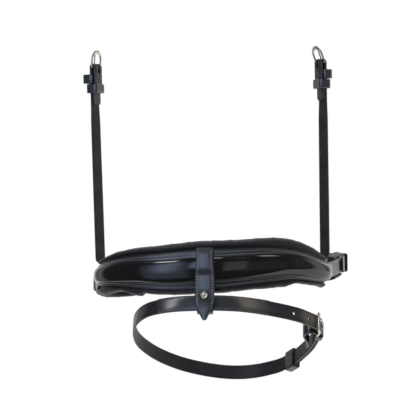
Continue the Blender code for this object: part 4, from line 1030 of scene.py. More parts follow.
@dataclass(frozen=True)
class Nosepiece:
    """Base leather, patent panel and padded lining of the nosepiece."""

    ring: Ring
    thickness: float = 0.0026
    half_front: float = 0.0186
    half_wing: float = 0.0078
    sink_front: float = 0.0015
    left_end: float = 0.226
    right_end: float = 0.222
    edge_row_in: float = 0.0023
    edge_row_end: float = 0.004
    edge_thread: float = 0.00046
    edge_sink: float = 0.00008
    panel_front: float = 0.0116
    panel_wing: float = 0.0066
    panel_rise: float = 0.0041
    panel_skin: float = 0.0011
    panel_flange: float = 0.0014
    panel_end: float = 0.149
    panel_row_out: float = 0.0011
    panel_row_end: float = 0.002
    panel_thread: float = 0.00048
    panel_sink: float = 0.00005
    lining_top: float = 0.0256
    lining_bottom: float = 0.0254
    lining_wing: float = 0.0123
    lining_thick: float = 0.0080
    lining_puff: float = 0.0020
    lining_left: float = 0.263
    lining_right: float = 0.207
    lining_round: float = 0.006
    lining_station: float = 0.0016
    swell: float = 0.0036
    sag: float = 0.0035
    swell_shares: tuple = ((0.2, 0.0), (0.54, 0.76), (0.80, 0.74), (1.02, 0.0))
    sag_shares: tuple = (
        (-1.04, 0.0), (-0.86, 1.55), (-0.62, 0.15), (-0.50, 0.85), (-0.46, 0.85), (-0.425, 0.0),
        (0.25, 0.0), (0.44, 0.45), (0.53, 0.66), (0.66, -0.28), (0.80, -0.25), (0.93, 0.54), (1.08, 0.0),
    )
    pocket_deep: float = 0.0040
    pocket_half: float = 0.0095
    pocket_ease: float = 0.0065
    pucker: float = 0.0002

    @property
    def panel_back(self) -> float:
        """Distance of the panel's back from the ring."""
        return self.thickness / 2 + GAP

    def taper(self, arc: np.ndarray, front: float, wing: float) -> np.ndarray:
        """A height that falls from the front to the hangers as a cosine and stays level beyond them."""
        share = np.clip(np.abs(arc) / HANGER_ARC, 0.0, 1.0)
        return wing + (front - wing) * np.cos(share * math.pi / 2)

    def middle(self, arc: np.ndarray) -> np.ndarray:
        """Height of the leather's middle line over the ring."""
        return -self.taper(arc, self.sink_front, 0.0)

    def half(self, arc: np.ndarray) -> np.ndarray:
        """Half height of the base leather."""
        return self.taper(arc, self.half_front, self.half_wing)

    def panel_half(self, arc: np.ndarray) -> np.ndarray:
        """Half height of the patent panel."""
        return self.taper(arc, self.panel_front, self.panel_wing)

    def dome(self, share: np.ndarray) -> np.ndarray:
        """Rise of the padded panel at a share of its half height: a flat-topped power curve."""
        return (self.panel_rise - self.panel_skin) * np.maximum(1 - np.abs(share) ** 2.4, 0.0) ** 0.75

    def front_of(self, height: float) -> float:
        """How far the panel's face stands out of the ring at a height over its middle."""
        share = np.clip(height / self.panel_front, -1.0, 1.0)
        return float(self.panel_back + self.panel_skin + self.dome(share))

    def leather(self) -> Piece:
        """The shaped base strap.

        Returns:
            The piece.
        """
        arcs = arcs_between(-self.left_end, self.right_end, STATION)
        centres, widths = self.ring.place(arcs, 0.0, self.middle(arcs)), self.ring.axes(arcs)[2]
        skin = strap_skin(centres, widths, self.half(arcs), self.thickness / 2, SOFT_EDGE)
        return seat(skin.build("nose_strap", EDGE_LEATHER, FLESH), "nosepiece", "nose_leather")

    def panel(self) -> Piece:
        """The domed patent strip, a shell over its filler with a flat flange all round.

        Returns:
            The piece.
        """
        arcs = arcs_between(-self.panel_end, self.panel_end, STATION)[:, None]
        fade = eased(np.abs(arcs), ((0.0, 1.0), (self.panel_end * 0.9, 1.0), (self.panel_end, 0.35)))
        half, middle = self.panel_half(arcs), self.middle(arcs)
        share = np.sin(np.linspace(-math.pi / 2, math.pi / 2, 37))
        under = share[::-3]
        rim = self.panel_skin * 0.6 * np.clip((np.abs(share) - 0.97) / 0.03, 0.0, 1.0) ** 2
        level = np.zeros_like(half)
        out = self.panel_back + np.hstack([
            self.panel_skin + self.dome(share) * fade - rim, level, self.dome(under) * fade, level,
        ])
        high = middle + np.hstack([half * share, half, (half - self.panel_flange) * under, -half])
        across = np.concatenate([share, [1.0], under, [-1.0]])
        skin = Skin(self.ring.place(arcs, out, high), arcs[:, 0], across)
        return seat(skin.build("patent_strip", PATENT), "nosepiece", "patent_panel")

    def pocket(self, arc: np.ndarray) -> np.ndarray:
        """How far the lining gives way for a hanger's sewn tail."""
        deep, half = self.pocket_deep, self.pocket_half
        knots = (0.0, deep), (half, deep), (half + self.pocket_ease, 0.0)
        return eased(np.abs(np.abs(arc) - HANGER_ARC), knots)

    def lining(self) -> Piece:
        """Padded lining with rolled, softly puckered edges, rounded off at both ends.

        Returns:
            The piece.
        """
        ends = self.lining_round * np.array([0.0, 0.05, 0.15, 0.3, 0.5, 0.75])
        left, right = -self.lining_left, self.lining_right
        inner = arcs_between(left + self.lining_round, right - self.lining_round, self.lining_station)
        arcs = np.concatenate([left + ends, inner, (right - ends)[::-1]])
        to_end = np.clip(np.minimum(arcs - left, right - arcs) / self.lining_round, 0.0, 1.0)
        rounding = np.sqrt(np.clip(1 - (1 - to_end) ** 2, 0.09, 1.0))
        swell, sag = (
            reach * eased(arcs / HANGER_ARC, shares)
            for reach, shares in ((self.swell, self.swell_shares), (self.sag, self.sag_shares))
        )
        top = (self.taper(arcs, self.lining_top, self.lining_wing) + swell) * rounding
        bottom = -(self.taper(arcs, self.lining_bottom, self.lining_wing) + sag) * rounding
        low = np.maximum(self.middle(arcs) - self.half(arcs), bottom * 0.8)
        high = np.minimum(self.middle(arcs) + self.half(arcs), top * 0.8)
        pocket = self.pocket(arcs)
        face = -self.thickness / 2 - GAP * (2 - rounding) - pocket
        back = -self.thickness / 2 - GAP - self.lining_thick * (0.35 + 0.65 * rounding)
        puff = np.where(pocket > 0.0, face, face + self.lining_puff * rounding**10)
        rim = ((0.18, 0.985), (0.45, 1.0), (0.78, 0.93), (0.96, 0.74))
        section = [(face, low), (face, high)]
        section += [(puff, high + (top - high) * share) for share in (0.35, 0.7)]
        section += [(face + (back - face) * deep, top * share) for deep, share in rim]
        section += [(back, (high + low) / 2)]
        section += [(face + (back - face) * deep, bottom * share) for deep, share in rim[::-1]]
        section += [(puff, low + (bottom - low) * share) for share in (0.7, 0.35)]
        fine = self.soft_section(np.moveaxis(np.array(section), -1, 0), arcs, face)
        rows = self.ring.place(arcs[:, None], fine[..., 0], fine[..., 1])
        piece = Skin(rows, arcs, fine[..., 1] / self.lining_top).build("lining_pad", LINING)
        seat(piece, "nosepiece", "nose_lining")
        return piece

    def soft_section(self, coarse: np.ndarray, arcs: np.ndarray, face: np.ndarray) -> np.ndarray:
        """Rounds each section and gathers the rolls in small uneven puckers.

        Args:
            coarse: (stations, points, 2) places out and up.
            arcs: arc length of each station.
            face: place of the lining's front face at each.

        Returns:
            The places on a fine grid.
        """
        steps = 4
        fine = smooth_ring(coarse, steps)
        fine[:, :steps + 1, 0] = face[:, None]
        index = np.arange(fine.shape[1]) / steps
        for middle, short, long in (
            (4.0, (1.1, 0.3, 0.0085), (0.9, 1.9, 0.021)),
            (12.0, (1.1, 2.3, 0.0078), (1.0, 4.2, 0.024)),
        ):
            waves = sum(part * self.pucker * wander(arcs, seed, pitch) for part, seed, pitch in (short, long))
            fine[..., 1] += waves[:, None] * np.exp(-((index - middle) / 1.5) ** 2)
        return fine

    def rows(self) -> list:
        """Stitches along the patent strip's edges and along the edges of the base leather.

        Returns:
            The pieces.
        """
        pieces = []
        for label, left, right, half, beyond, sink, radius in (
            ("panel", self.panel_end - self.panel_row_end, self.panel_end - self.panel_row_end,
             self.panel_half, self.panel_row_out, self.panel_sink, self.panel_thread),
            ("edge", self.left_end - self.edge_row_end, self.right_end - self.edge_row_end,
             self.half, -self.edge_row_in, self.edge_sink, self.edge_thread),
        ):
            arcs = arcs_between(-left, right, THREAD_STEP)
            normals = self.ring.axes(arcs)[1]
            for edge, side in EDGES:
                high = self.middle(arcs) + side * (half(arcs) + beyond)
                line = self.ring.place(arcs, self.thickness / 2 - sink, high)
                pieces.append(seat(stitches(f"{label}_stitches_{edge}", line, normals, radius), "nosepiece"))
        return pieces

    def build(self) -> list:
        """All pieces of the nosepiece."""
        return [self.leather(), self.panel(), self.lining(), *self.rows()]


# Closures: the flash buckle and the rear buckle


@dataclass(frozen=True)
class ClosureSizes:
    """Sizes of a buckle on a ring."""

    bar_arc: float
    sense: int
    width: float
    ply: float
    billet: float
    bar_radius: float
    inside: float
    reach: float
    rod: float = 0.0012
    corner: float = 0.0022
    bow: float = 0.0008
    tongue_half: float = 0.0007
    climb: float = 1.15
    under: float = 0.0008
    hole: float = 0.0020
    loop_thick: float = 0.0014
    tuck: float = 0.0030
    slot_half: float = 0.0019


class Closure:
    """A buckle on a ring: its chape lies at positive reach from the bar, its frame at negative."""

    def __init__(self, ring: Ring, sizes: ClosureSizes):
        """Works out the levels at which the plies, the frame and the tongue lie.

        Args:
            ring: the strap's route.
            sizes: sizes of the buckle.
        """
        self.ring, self.sizes = ring, sizes
        self.half = sizes.width / 2
        self.fold = sizes.inside + sizes.ply / 2
        self.over = self.fold + sizes.ply / 2 + GAP + RUN / 4 + sizes.billet / 2
        self.far_out = sizes.under + sizes.billet / 2 + GAP + sizes.rod
        self.hook = sizes.bar_radius + GAP + sizes.tongue_half
        self.tongue_out = self.far_out + sizes.bow + sizes.rod + GAP * 2 + sizes.tongue_half
        self.tip = -sizes.reach - sizes.rod * 1.4
        self.hole_arc = sizes.bar_arc

    def arc(self, reach: np.ndarray) -> np.ndarray:
        """Arc length at a reach along the strap from the bar."""
        return self.sizes.bar_arc + self.sizes.sense * np.asarray(reach, float)

    def spot(self, reach: np.ndarray, out: np.ndarray = 0.0, high: np.ndarray = 0.0) -> np.ndarray:
        """World points at a reach along the strap from the bar."""
        return self.ring.place(self.arc(reach), out, high)

    def axes(self, reach: np.ndarray) -> tuple:
        """Chape direction, outward normal and width direction at a reach."""
        along, out, width = self.ring.axes(self.arc(reach))
        return along * self.sizes.sense, out, width

    def billet_out(self, reach: np.ndarray) -> np.ndarray:
        """How far out the billet runs: under the frame's far side, then over the folded chape."""
        far, under = self.sizes.reach, self.sizes.under
        knots = (-far * 2, 0.0), (-far * 1.35, under * 0.4), (-far * 0.97, under), (-self.fold / 2, self.over)
        return eased(reach, (*knots, (far, self.over)))

    def ply(self, start: float, end: float, side: int, step: float = STATION) -> np.ndarray:
        """Rows of a straight ply on one side of the bar."""
        return rows_of(arcs_between(start, end, step), side * self.fold)

    def bend(self, start: float, count: int) -> np.ndarray:
        """Rows of the fold round the bar, from a turn up to the outer side."""
        turn = np.linspace(start, math.pi / 2, count)
        return rows_of(-self.fold * np.cos(turn), self.fold * np.sin(turn))

    def fold_route(self, outer_end: float, inner_end: float) -> np.ndarray:
        """Reach and outward offset along a chape folded round the bar, inner ply first."""
        ply = self.sizes.ply
        inner, outer = self.ply(inner_end, ply, -1), self.ply(ply, outer_end, 1)
        return np.vstack([inner, self.bend(-math.pi / 2, 19), outer])

    def bowed_route(self, length: float, bow: float, shares: Sequence) -> np.ndarray:
        """Reach and offset along a chape whose inner ply bows away from the bar and comes back.

        Args:
            length: how far the inner ply reaches.
            bow: how far it bows.
            shares: (reach, bow) shares of the bow's points, from the bar on.

        Returns:
            Rows of (reach, out), inner ply first.
        """
        at, off = np.array(shares[::-1]).T
        bowed, bend = rows_of(length * at, -self.fold - (bow - self.fold) * off), self.bend(0.0, 9)
        inner = np.vstack([self.ply(length, length * 0.86, -1, 0.003), bowed, bend[:1]])
        return np.vstack([smooth_route(inner, 6)[:-1], bend, self.ply(self.sizes.ply, length * 0.8, 1)])

    def frame(self, name: str, body: str, node: str) -> Piece:
        """Rounded frame whose bar lies in the fold and whose far side stands outward.

        Args:
            name: the piece's name.
            body: its body.
            node: the node that it replaces.

        Returns:
            The piece.
        """
        size, turn = self.sizes, quarter(7)
        inner, corner = self.half + RUN + size.rod, size.corner
        near = corner * (np.sin(turn) - 1)
        in_from_side = corner * (1 - np.cos(turn))
        slim = np.where(inner - in_from_side < inner - corner / 2, size.bar_radius, size.rod)
        bar = rows_of(near, inner - in_from_side, slim)
        far = rows_of(-size.reach - near, inner - in_from_side, size.rod)
        other = (1.0, -1.0, 1.0)
        path = filled(np.vstack([bar * other, bar[::-1], far, far[::-1] * other]), 0.0008)
        reach, high, radius = path.T
        out = (self.far_out + size.bow * (1 - (high / inner) ** 2)) * reach / -size.reach
        side = self.axes(reach)[1]
        skin = rod_skin(self.spot(reach, out, high), side, radius * 0.98, radius * 0.98, 20, True)
        return seat(skin.build(name, SILVER), body, node)

    def tongue(self, name: str, body: str, node: str) -> Piece:
        """Tongue hooked round the bar, through the billet's hole and over the frame's far side.

        Args:
            name: the piece's name.
            body: its body.
            node: the node that it replaces.

        Returns:
            The piece.
        """
        turn = np.radians(np.linspace(-215.0, 0.0, 14))
        share = np.array([0.15, 0.3, 0.6, 0.87, 1.0])
        lift = self.hook + (self.tongue_out - self.hook) * np.minimum(share * self.sizes.climb, 1.0)
        hooked = rows_of(-self.hook * np.sin(turn), self.hook * np.cos(turn))
        route = smooth_route(np.vstack([hooked, rows_of(self.tip * share, lift)]), 3)
        slim = eased(np.linspace(0.0, 1.0, len(route)), ((0.0, 0.8), (0.1, 1.0), (0.8, 1.0), (1.0, 0.7)))
        thin = self.sizes.tongue_half * slim
        skin = rod_skin(self.spot(route[:, 0], route[:, 1]), self.axes(0.0)[2], thin * 1.15, thin, 14)
        return seat(skin.build(name, SILVER), body, node)

    def keeper(self, path: np.ndarray, reach: float, long: float, closed: bool) -> Skin:
        """A keeper's skin, placed at its reach.

        Args:
            path: its section.
            reach: distance from the bar.
            long: its length.
            closed: whether it goes all round.

        Returns:
            The skin.
        """
        skin = keeper_skin(path, long / 2, self.sizes.loop_thick / 2, closed)
        along, out, high = np.moveaxis(skin.rows, -1, 0)
        skin.rows = self.spot(reach + along, out, high)
        return skin

    def loop(self, reach: float, long: float, low: float, high: float, slack: float = RUN) -> Skin:
        """A closed keeper round the strap.

        Args:
            reach: its middle.
            long: its length along the strap.
            low: offset of its inner side.
            high: offset of its outer side.
            slack: clearance at its sides.

        Returns:
            Its skin.
        """
        thick = self.sizes.loop_thick / 2
        path = loop_path(self.half + slack + thick, low - thick, high + thick, self.sizes.loop_thick)
        return self.keeper(path, reach, long, True)

    def open_loop(self, reach: float, long: float, high: float) -> Skin:
        """A keeper over the outer side whose ends are sewn between the chape's plies."""
        thick = self.sizes.loop_thick / 2
        path = open_path(self.half + GAP + thick, high + thick, self.sizes.tuck, self.sizes.loop_thick)
        return self.keeper(path, reach, long, False)

    def slot_cutter(self) -> Piece:
        """The slot for the tongue through a folded chape.

        Returns:
            The cutter.
        """
        size = self.sizes
        back, front = self.hook + size.tongue_half + RUN * 3, -self.fold - size.ply / 2 - RUN / 2
        low, top = -self.fold - size.ply, self.fold + size.ply / 2 + GAP / 2
        centre = self.spot((back + front) / 2, (low + top) / 2)
        return cutter(centre, self.axes(0.0), ((back - front) / 2, (top - low) / 2, size.slot_half))

    def tongue_hole(self) -> Piece:
        """The hole that the tongue passes, at the place where it crosses the billet.

        Returns:
            The cutter.
        """
        size = self.sizes
        reaches = np.linspace(-size.reach, -self.fold, 60)
        tongue = self.hook + (self.tongue_out - self.hook) * size.climb * reaches / self.tip
        crossing = float(reaches[np.argmin(np.abs(tongue - self.billet_out(reaches)))])
        self.hole_arc = float(self.arc(crossing))
        along, out, _ = self.axes(crossing)
        return punch(self.spot(crossing, self.billet_out(crossing)), out, size.hole, size.billet * 1.2, along)

    def more_holes(self, step: float, count: int) -> list:
        """Further holes along the billet.

        Args:
            step: distance from one to the next.
            count: how many.

        Returns:
            The cutters.
        """
        arcs = self.hole_arc + step * np.arange(1, count + 1)
        places, outs = self.ring.place(arcs), self.ring.axes(arcs)[1]
        radius, deep = self.sizes.hole * 0.8, self.sizes.billet
        return [punch(place, out, radius, deep) for place, out in zip(places, outs)]


def pointed(to_end: np.ndarray, half: float) -> np.ndarray:
    """Half width of a billet that narrows to its point."""
    return half * np.clip(0.35 + 0.65 * to_end / half, 0.0, 1.0)


@dataclass(frozen=True)
class RearClosure:
    """The chin strap and its buckle behind the jaw."""

    ring: Ring
    lap_out: float
    outer_ply: float = 0.060
    inner_ply: float = 0.0410
    fixed_at: float = 0.0325
    runner_at: float = 0.0135
    loop_width: float = 0.0080
    tail: float = 0.0375
    lap: float = 0.200
    lap_end: float = 0.229
    lap_ease: float = 0.014
    hole_step: float = 0.020
    holes: int = 3

    def closure(self) -> Closure:
        """The buckle on the ring."""
        return Closure(self.ring, ClosureSizes(
            bar_arc=0.250, sense=-1, width=0.015, ply=0.0022, billet=0.0024,
            bar_radius=0.0011, inside=self.lap_out, reach=0.0165,
        ))

    def strap(self, closure: Closure) -> Piece:
        """The billet, from its lap on the wing to its pointed end under the buckle.

        Args:
            closure: the buckle.

        Returns:
            The piece.
        """
        sizes = closure.sizes
        end = sizes.bar_arc - self.tail
        arcs = arcs_between(self.ring.length - self.lap, end, STATION)
        lap = self.lap_out + sizes.billet / 2
        knots = (0.0, lap), (self.lap_end, lap), (self.lap_end + self.lap_ease, 0.0)
        buckled = closure.billet_out((arcs - sizes.bar_arc) * sizes.sense)
        lapped = eased(self.ring.length - arcs, knots)
        out = np.where(arcs > sizes.bar_arc + sizes.reach * 2.2, lapped, buckled)
        half = pointed(arcs - end, closure.half)
        centres, widths = self.ring.place(arcs, out), self.ring.axes(arcs)[2]
        skin = strap_skin(centres, widths, half, sizes.billet / 2, flip=True)
        strap = skin.build("jaw_strap", BRIDLE, FLESH)
        carve(strap, [closure.tongue_hole(), *closure.more_holes(self.hole_step, self.holes)])
        return seat(strap, "nosepiece", "chin_strap")

    def build(self) -> list:
        """All pieces of the closure.

        Returns:
            The pieces.
        """
        closure = self.closure()
        route = closure.fold_route(self.outer_ply, self.inner_ply)
        centres, widths = closure.spot(*route.T), closure.axes(route[:, 0])[2]
        skin = strap_skin(centres, widths, closure.half, closure.sizes.ply / 2)
        chape = skin.build("chin_buckle_end", BRIDLE)
        carve(chape, [closure.slot_cutter()])
        low = -closure.fold - closure.sizes.ply / 2 - GAP
        high = closure.over + closure.sizes.billet / 2 + GAP
        fixed = closure.loop(self.fixed_at, self.loop_width, low, high)
        runner = closure.loop(self.runner_at, self.loop_width, low - GAP, high + GAP)
        return [
            seat(chape, "nosepiece", "chin_chape"),
            closure.frame("chin_frame", "nosepiece", "chin_buckle_frame"),
            closure.tongue("chin_tongue_rod", "chin_tongue", "chin_buckle_tongue"),
            seat(fixed.build("chin_keeper", BRIDLE), "nosepiece", "chin_fixed_keeper"),
            seat(runner.build("chin_runner_loop", BRIDLE), "chin_runner", "chin_runner_keeper"),
            self.strap(closure),
        ]


@dataclass(frozen=True)
class FlashStrap:
    """The thin strap under the noseband with its closure on the near side."""

    y: float = -0.081
    z: float = -0.2369
    tilt: float = math.radians(28.0)
    sling_tilt: float = math.radians(20.0)
    untwist: float = 0.040
    reach: float = 0.110
    depth: float = 0.170
    width: float = 0.0152
    ply: float = 0.0021
    facing: float = 0.0013
    facing_left: float = 0.047
    facing_right: float = 0.062
    facing_station: float = 0.0012
    row_in: float = 0.0020
    row_end: float = 0.0015
    row_sink: float = 0.00022
    thread: float = 0.00034
    shares: tuple = (
        (0.000, 0.000), (0.273, 0.021), (0.545, 0.086), (0.782, 0.175), (0.900, 0.253), (0.949, 0.306),
        (0.932, 0.376), (0.896, 0.465), (0.845, 0.565), (0.755, 0.685), (0.650, 0.800), (0.491, 0.917),
        (0.309, 0.978), (0.109, 0.992), (-0.109, 0.952), (-0.345, 0.857), (-0.527, 0.727), (-0.636, 0.597),
        (-0.695, 0.474), (-0.700, 0.341), (-0.664, 0.218), (-0.582, 0.118), (-0.464, 0.053), (-0.264, 0.011),
    )
    bar_arc: float = 0.131
    turn_back: float = 0.034
    fixed_at: float = 0.0062
    loop_width: float = 0.0080
    runner_at: float = 0.0823
    runner_width: float = 0.0135
    runner_slack: float = 0.0013
    settle: float = 0.021
    tail: float = 0.0790
    hole_step: float = 0.0185
    holes: int = 2
    bow: float = 0.0112
    bow_shares: tuple = (
        (-0.060, 0.10), (-0.045, 0.42), (0.01, 0.80), (0.12, 1.0), (0.27, 0.96), (0.47, 0.62), (0.68, 0.18),
    )

    def route(self) -> Ring:
        """The route in its tilted plane, with its width more upright across the sling.

        Returns:
            The ring.
        """
        across, deep = np.array(self.shares).T
        behind, below = self.depth * deep * math.cos(self.tilt), self.depth * deep * math.sin(self.tilt)
        ring = Ring(rows_of(self.reach * across, self.y + behind, self.z - below))
        knots = (0.0, self.sling_tilt), (self.untwist / 4, self.sling_tilt), (self.untwist, self.tilt)

        def up(arc: np.ndarray) -> np.ndarray:
            """The width's direction at these arc lengths."""
            tilt = eased(np.abs(ring.signed(arc)), knots)
            return rows_of(0.0, np.sin(tilt), np.cos(tilt))

        ring.up = up
        return ring

    def strap(self, ring: Ring, closure: Closure) -> Piece:
        """The whole strap, from its bowed turn-back round to its pointed end.

        Args:
            ring: its route.
            closure: its buckle.

        Returns:
            The piece.
        """
        flat_from = self.runner_at + self.runner_width
        fold = closure.bowed_route(self.turn_back, self.bow, self.bow_shares)
        level = arcs_between(self.turn_back * 0.8, ring.length + self.tail, STATION)[1:]
        knots = (self.turn_back, closure.fold), (flat_from, closure.fold), (flat_from + self.settle, 0.0)
        past_buckle = level >= ring.length - closure.sizes.reach * 2.2
        out = np.where(past_buckle, closure.billet_out(level - ring.length), eased(level, knots))
        route = np.vstack([fold, rows_of(level, out)])
        half = pointed(route[-1, 0] - route[:, 0], closure.half)
        skin = strap_skin(closure.spot(*route.T), closure.axes(route[:, 0])[2], half, self.ply / 2)
        strap = skin.build("flash_band", BRIDLE, INNER)
        holes = [closure.tongue_hole(), *closure.more_holes(-self.hole_step, self.holes)]
        carve(strap, [closure.slot_cutter(), *holes])
        return seat(strap, "flash", "flash_strap")

    def front(self, ring: Ring, half: float) -> list:
        """The second layer on the front, and the stitches along its edges.

        Args:
            ring: the strap's route.
            half: half its width.

        Returns:
            The pieces.
        """
        arcs = arcs_between(-self.facing_left, self.facing_right, self.facing_station)
        out = self.ply / 2 + GAP + self.facing / 2
        skin = strap_skin(ring.place(arcs, out), ring.axes(arcs)[2], half - GAP, self.facing / 2, THIN)
        pieces = [seat(skin.build("flash_front_ply", BRIDLE), "flash", "flash_facing")]
        arcs = arcs_between(self.row_end - self.facing_left, self.facing_right - self.row_end, THREAD_STEP)
        for edge, side in EDGES:
            line = ring.place(arcs, out + self.facing / 2 - self.row_sink, side * (half - self.row_in))
            row = stitches(f"flash_stitches_{edge}", line, ring.axes(arcs)[1], self.thread)
            pieces.append(seat(row, "flash"))
        return pieces

    def build(self) -> list:
        """Strap, facing, buckle and keepers.

        Returns:
            The pieces.
        """
        ring = self.route()
        closure = Closure(ring, ClosureSizes(
            bar_arc=self.bar_arc, sense=1, width=self.width, ply=self.ply, billet=self.ply,
            bar_radius=0.0009, inside=0.0009 + GAP, reach=0.0135,
        ))
        high, low = closure.over + self.ply / 2 + GAP, closure.fold - self.ply / 2 - RUN / 2
        fixed = closure.open_loop(self.fixed_at, self.loop_width, high)
        runner = closure.loop(self.runner_at, self.runner_width, low, high + RUN * 2, self.runner_slack)
        return [
            self.strap(ring, closure),
            *self.front(ring, closure.half),
            closure.frame("flash_frame", "flash", "flash_buckle_frame"),
            closure.tongue("flash_tongue_rod", "flash_tongue", "flash_buckle_tongue"),
            seat(fixed.build("flash_keeper", BRIDLE), "flash", "flash_fixed_keeper"),
            seat(runner.build("flash_runner_loop", BRIDLE), "flash_runner", "flash_runner_keeper"),
        ]


# Tab, sling and stud over the front


@dataclass(frozen=True)
class FrontTab:
    """Pointed tab over the panel, the sling behind it and the stud that closes them."""

    ring: Ring
    nose: Nosepiece
    flash: FlashStrap
    tab_top: float = 0.0205
    tab_thick: float = 0.0030
    tab_half_top: float = 0.0082
    tab_half_low: float = 0.0094
    tab_widest: float = 0.0170
    tab_taper: float = 0.0335
    tab_length: float = 0.0735
    tab_tip: float = 0.0012
    tab_hole: float = 0.0046
    row_in: float = 0.0021
    row_sink: float = 0.00014
    row_share: float = 0.80
    thread: float = 0.00042
    sling_half: float = 0.0075
    sling_thick: float = 0.0018
    sling_top: float = 0.0180
    back_room: float = 0.0026
    front_room: float = 0.0042
    below: float = 0.0081
    front_top: float = 0.0095
    stud_height: float = 0.0040
    post: float = 0.0012
    ball: float = 0.0037
    neck: float = 0.0019
    neck_length: float = 0.0042

    @property
    def normal(self) -> np.ndarray:
        """Direction that the flash strap faces in the sling."""
        return np.array([0.0, -math.cos(self.flash.sling_tilt), math.sin(self.flash.sling_tilt)])

    @property
    def along(self) -> np.ndarray:
        """Up direction of the flash strap in the sling."""
        return np.array([0.0, math.sin(self.flash.sling_tilt), math.cos(self.flash.sling_tilt)])

    def upright(self, out: float, height: float) -> np.ndarray:
        """A place in front of the nosepiece, from the leather's middle."""
        middle = self.ring.spot(0.0)[2] - self.nose.sink_front
        return np.array([0.0, -NoseRing.nose_depth - out, middle + height])

    def tilted(self, out: float, height: float) -> np.ndarray:
        """A place in front of the flash strap, from its middle in the sling."""
        strap = np.array([0.0, self.flash.y, self.flash.z])
        return strap + self.normal * out + self.along * height

    def over_panel(self, clear: float) -> list:
        """Points that run down the panel at a clear distance from it."""
        heights = [self.nose.panel_front * share for share in (0.55, 0.0, -0.55)]
        return [self.upright(self.nose.front_of(height) + clear, height) for height in heights]

    def sling(self) -> Piece:
        """A strap down behind the tab, under the flash strap and up in front of it.

        Returns:
            The piece.
        """
        half = self.sling_thick / 2
        clear = GAP + half
        back, face = -self.back_room - half, self.front_room + half
        base = self.nose.thickness / 2 + clear + GAP
        ledge, edge = self.nose.panel_back + self.nose.panel_skin + clear + RUN, self.nose.panel_front * 1.08
        deep, low = face - back, -self.below - (face - back) * 0.22
        route = evenly(smooth_route([
            self.upright(base, self.sling_top), self.upright(ledge, edge), *self.over_panel(clear + RUN / 2),
            self.upright(ledge, -edge), self.upright(base, -self.nose.half_front),
            self.tilted(back, 0.0), self.tilted(back, -self.below),
            self.tilted(back + deep * 0.25, low), self.tilted(back + deep * 0.75, low),
            self.tilted(face, -self.below), self.tilted(face, 0.0), self.tilted(face, self.front_top),
        ], 8), 0.0010)
        obj = strap_skin(route, X_AXIS, self.sling_half, half, THIN).build("flash_carrier", BRIDLE)
        hole = self.tilted(face, self.stud_height)
        carve(obj, [punch(hole, self.normal, self.post + GAP, self.sling_thick)])
        return seat(obj, "nosepiece", "flash_sling")

    def tab(self) -> list:
        """The tab with its round hole, and the stitches down its edges.

        Returns:
            The pieces.
        """
        half = self.tab_thick / 2
        clear = GAP + self.sling_thick + RUN / 2 + GAP + half + RUN / 2
        face = self.front_room + self.sling_thick + GAP + half
        ledge = self.nose.panel_back + self.nose.panel_skin + clear + RUN * 2
        low = self.tilted(face, -self.below)
        down = unit(-self.along - (0.0, 0.0, 0.5))
        route = evenly(smooth_route([
            self.upright(self.nose.thickness / 2 + clear + GAP, self.tab_top),
            self.upright(ledge, self.nose.panel_front * 1.2), *self.over_panel(clear),
            self.tilted(face, self.front_top * 1.3), self.tilted(face, self.stud_height),
            low, low + down * self.tab_widest * 0.65,
        ], 8), 0.0008)
        halves = self.halves(route)
        # The tab takes the lighter copy of the leather, whose colour is painted sheen.
        obj = strap_skin(route, X_AXIS, halves, half, TAB).build("front_tab", TAB_SHEEN_LEATHER)
        carve(obj, [punch(self.tilted(face, self.stud_height), self.normal, self.tab_hole, self.tab_thick)])
        pieces = [seat(obj, "tab", "flash_tab")]
        outward = unit(np.cross(tangents(route), X_AXIS))
        keep = slice(3, int(len(route) * self.row_share))
        for label, side in (("left", -1.0), ("right", 1.0)):
            across = X_AXIS * (side * (halves[keep] - self.row_in))[:, None]
            line = route[keep] + outward[keep] * (half - self.row_sink) + across
            pieces.append(seat(stitches(f"tab_stitches_{label}", line, outward[keep], self.thread), "tab"))
        return pieces

    def halves(self, route: np.ndarray) -> np.ndarray:
        """Half width of the tab: it widens down to its middle and ends in a bowed point.

        Args:
            route: rows down the tab's middle.

        Returns:
            Half width at each row.
        """
        down = run_length(route)
        low = down[-1] - (self.tab_length - self.tab_taper)
        top = self.tab_half_top
        half = eased(down, ((0.0, top), (low * 0.2, top), (low, self.tab_half_low)))
        left = np.clip((down[-1] - down) / self.tab_widest, 0.0, 1.0)
        return np.minimum(half, self.tab_tip + (self.tab_half_low - self.tab_tip) * left**0.8)

    def stud(self) -> Piece:
        """Ball stud: a collar, a neck and most of a sphere, turned about one axis.

        Returns:
            The piece.
        """
        ball, neck = self.ball, self.neck
        lift = self.neck_length + math.sqrt(ball**2 - neck**2)
        collar = [
            (0.0, ball * 0.72), (0.0001, ball * 0.77), (neck * 0.2, ball * 0.77), (neck * 0.34, ball * 0.72),
            (neck * 0.42, neck * 1.25), (neck * 0.6, neck), (self.neck_length * 0.8, neck),
        ]
        turn = np.linspace(math.asin(neck / ball), math.pi, 26)[:-1]
        sphere = rows_of(lift - ball * np.cos(turn), ball * np.sin(turn))
        profile = np.vstack([collar, sphere, (lift + ball * 0.999, ball * 0.02)])
        base = self.tilted(self.front_room + self.sling_thick + GAP, self.stud_height)
        stud = turned_skin(base, self.normal, profile).build("ball_stud", BRIGHT)
        return seat(stud, "nosepiece", "tab_stud")

    def build(self) -> list:
        """All pieces over the front."""
        return [self.sling(), *self.tab(), self.stud()]


# Hangers and their buckles


class Side(Enum):
    """Which hanger, by the sign of its place across the head."""

    LEFT = -1
    RIGHT = 1


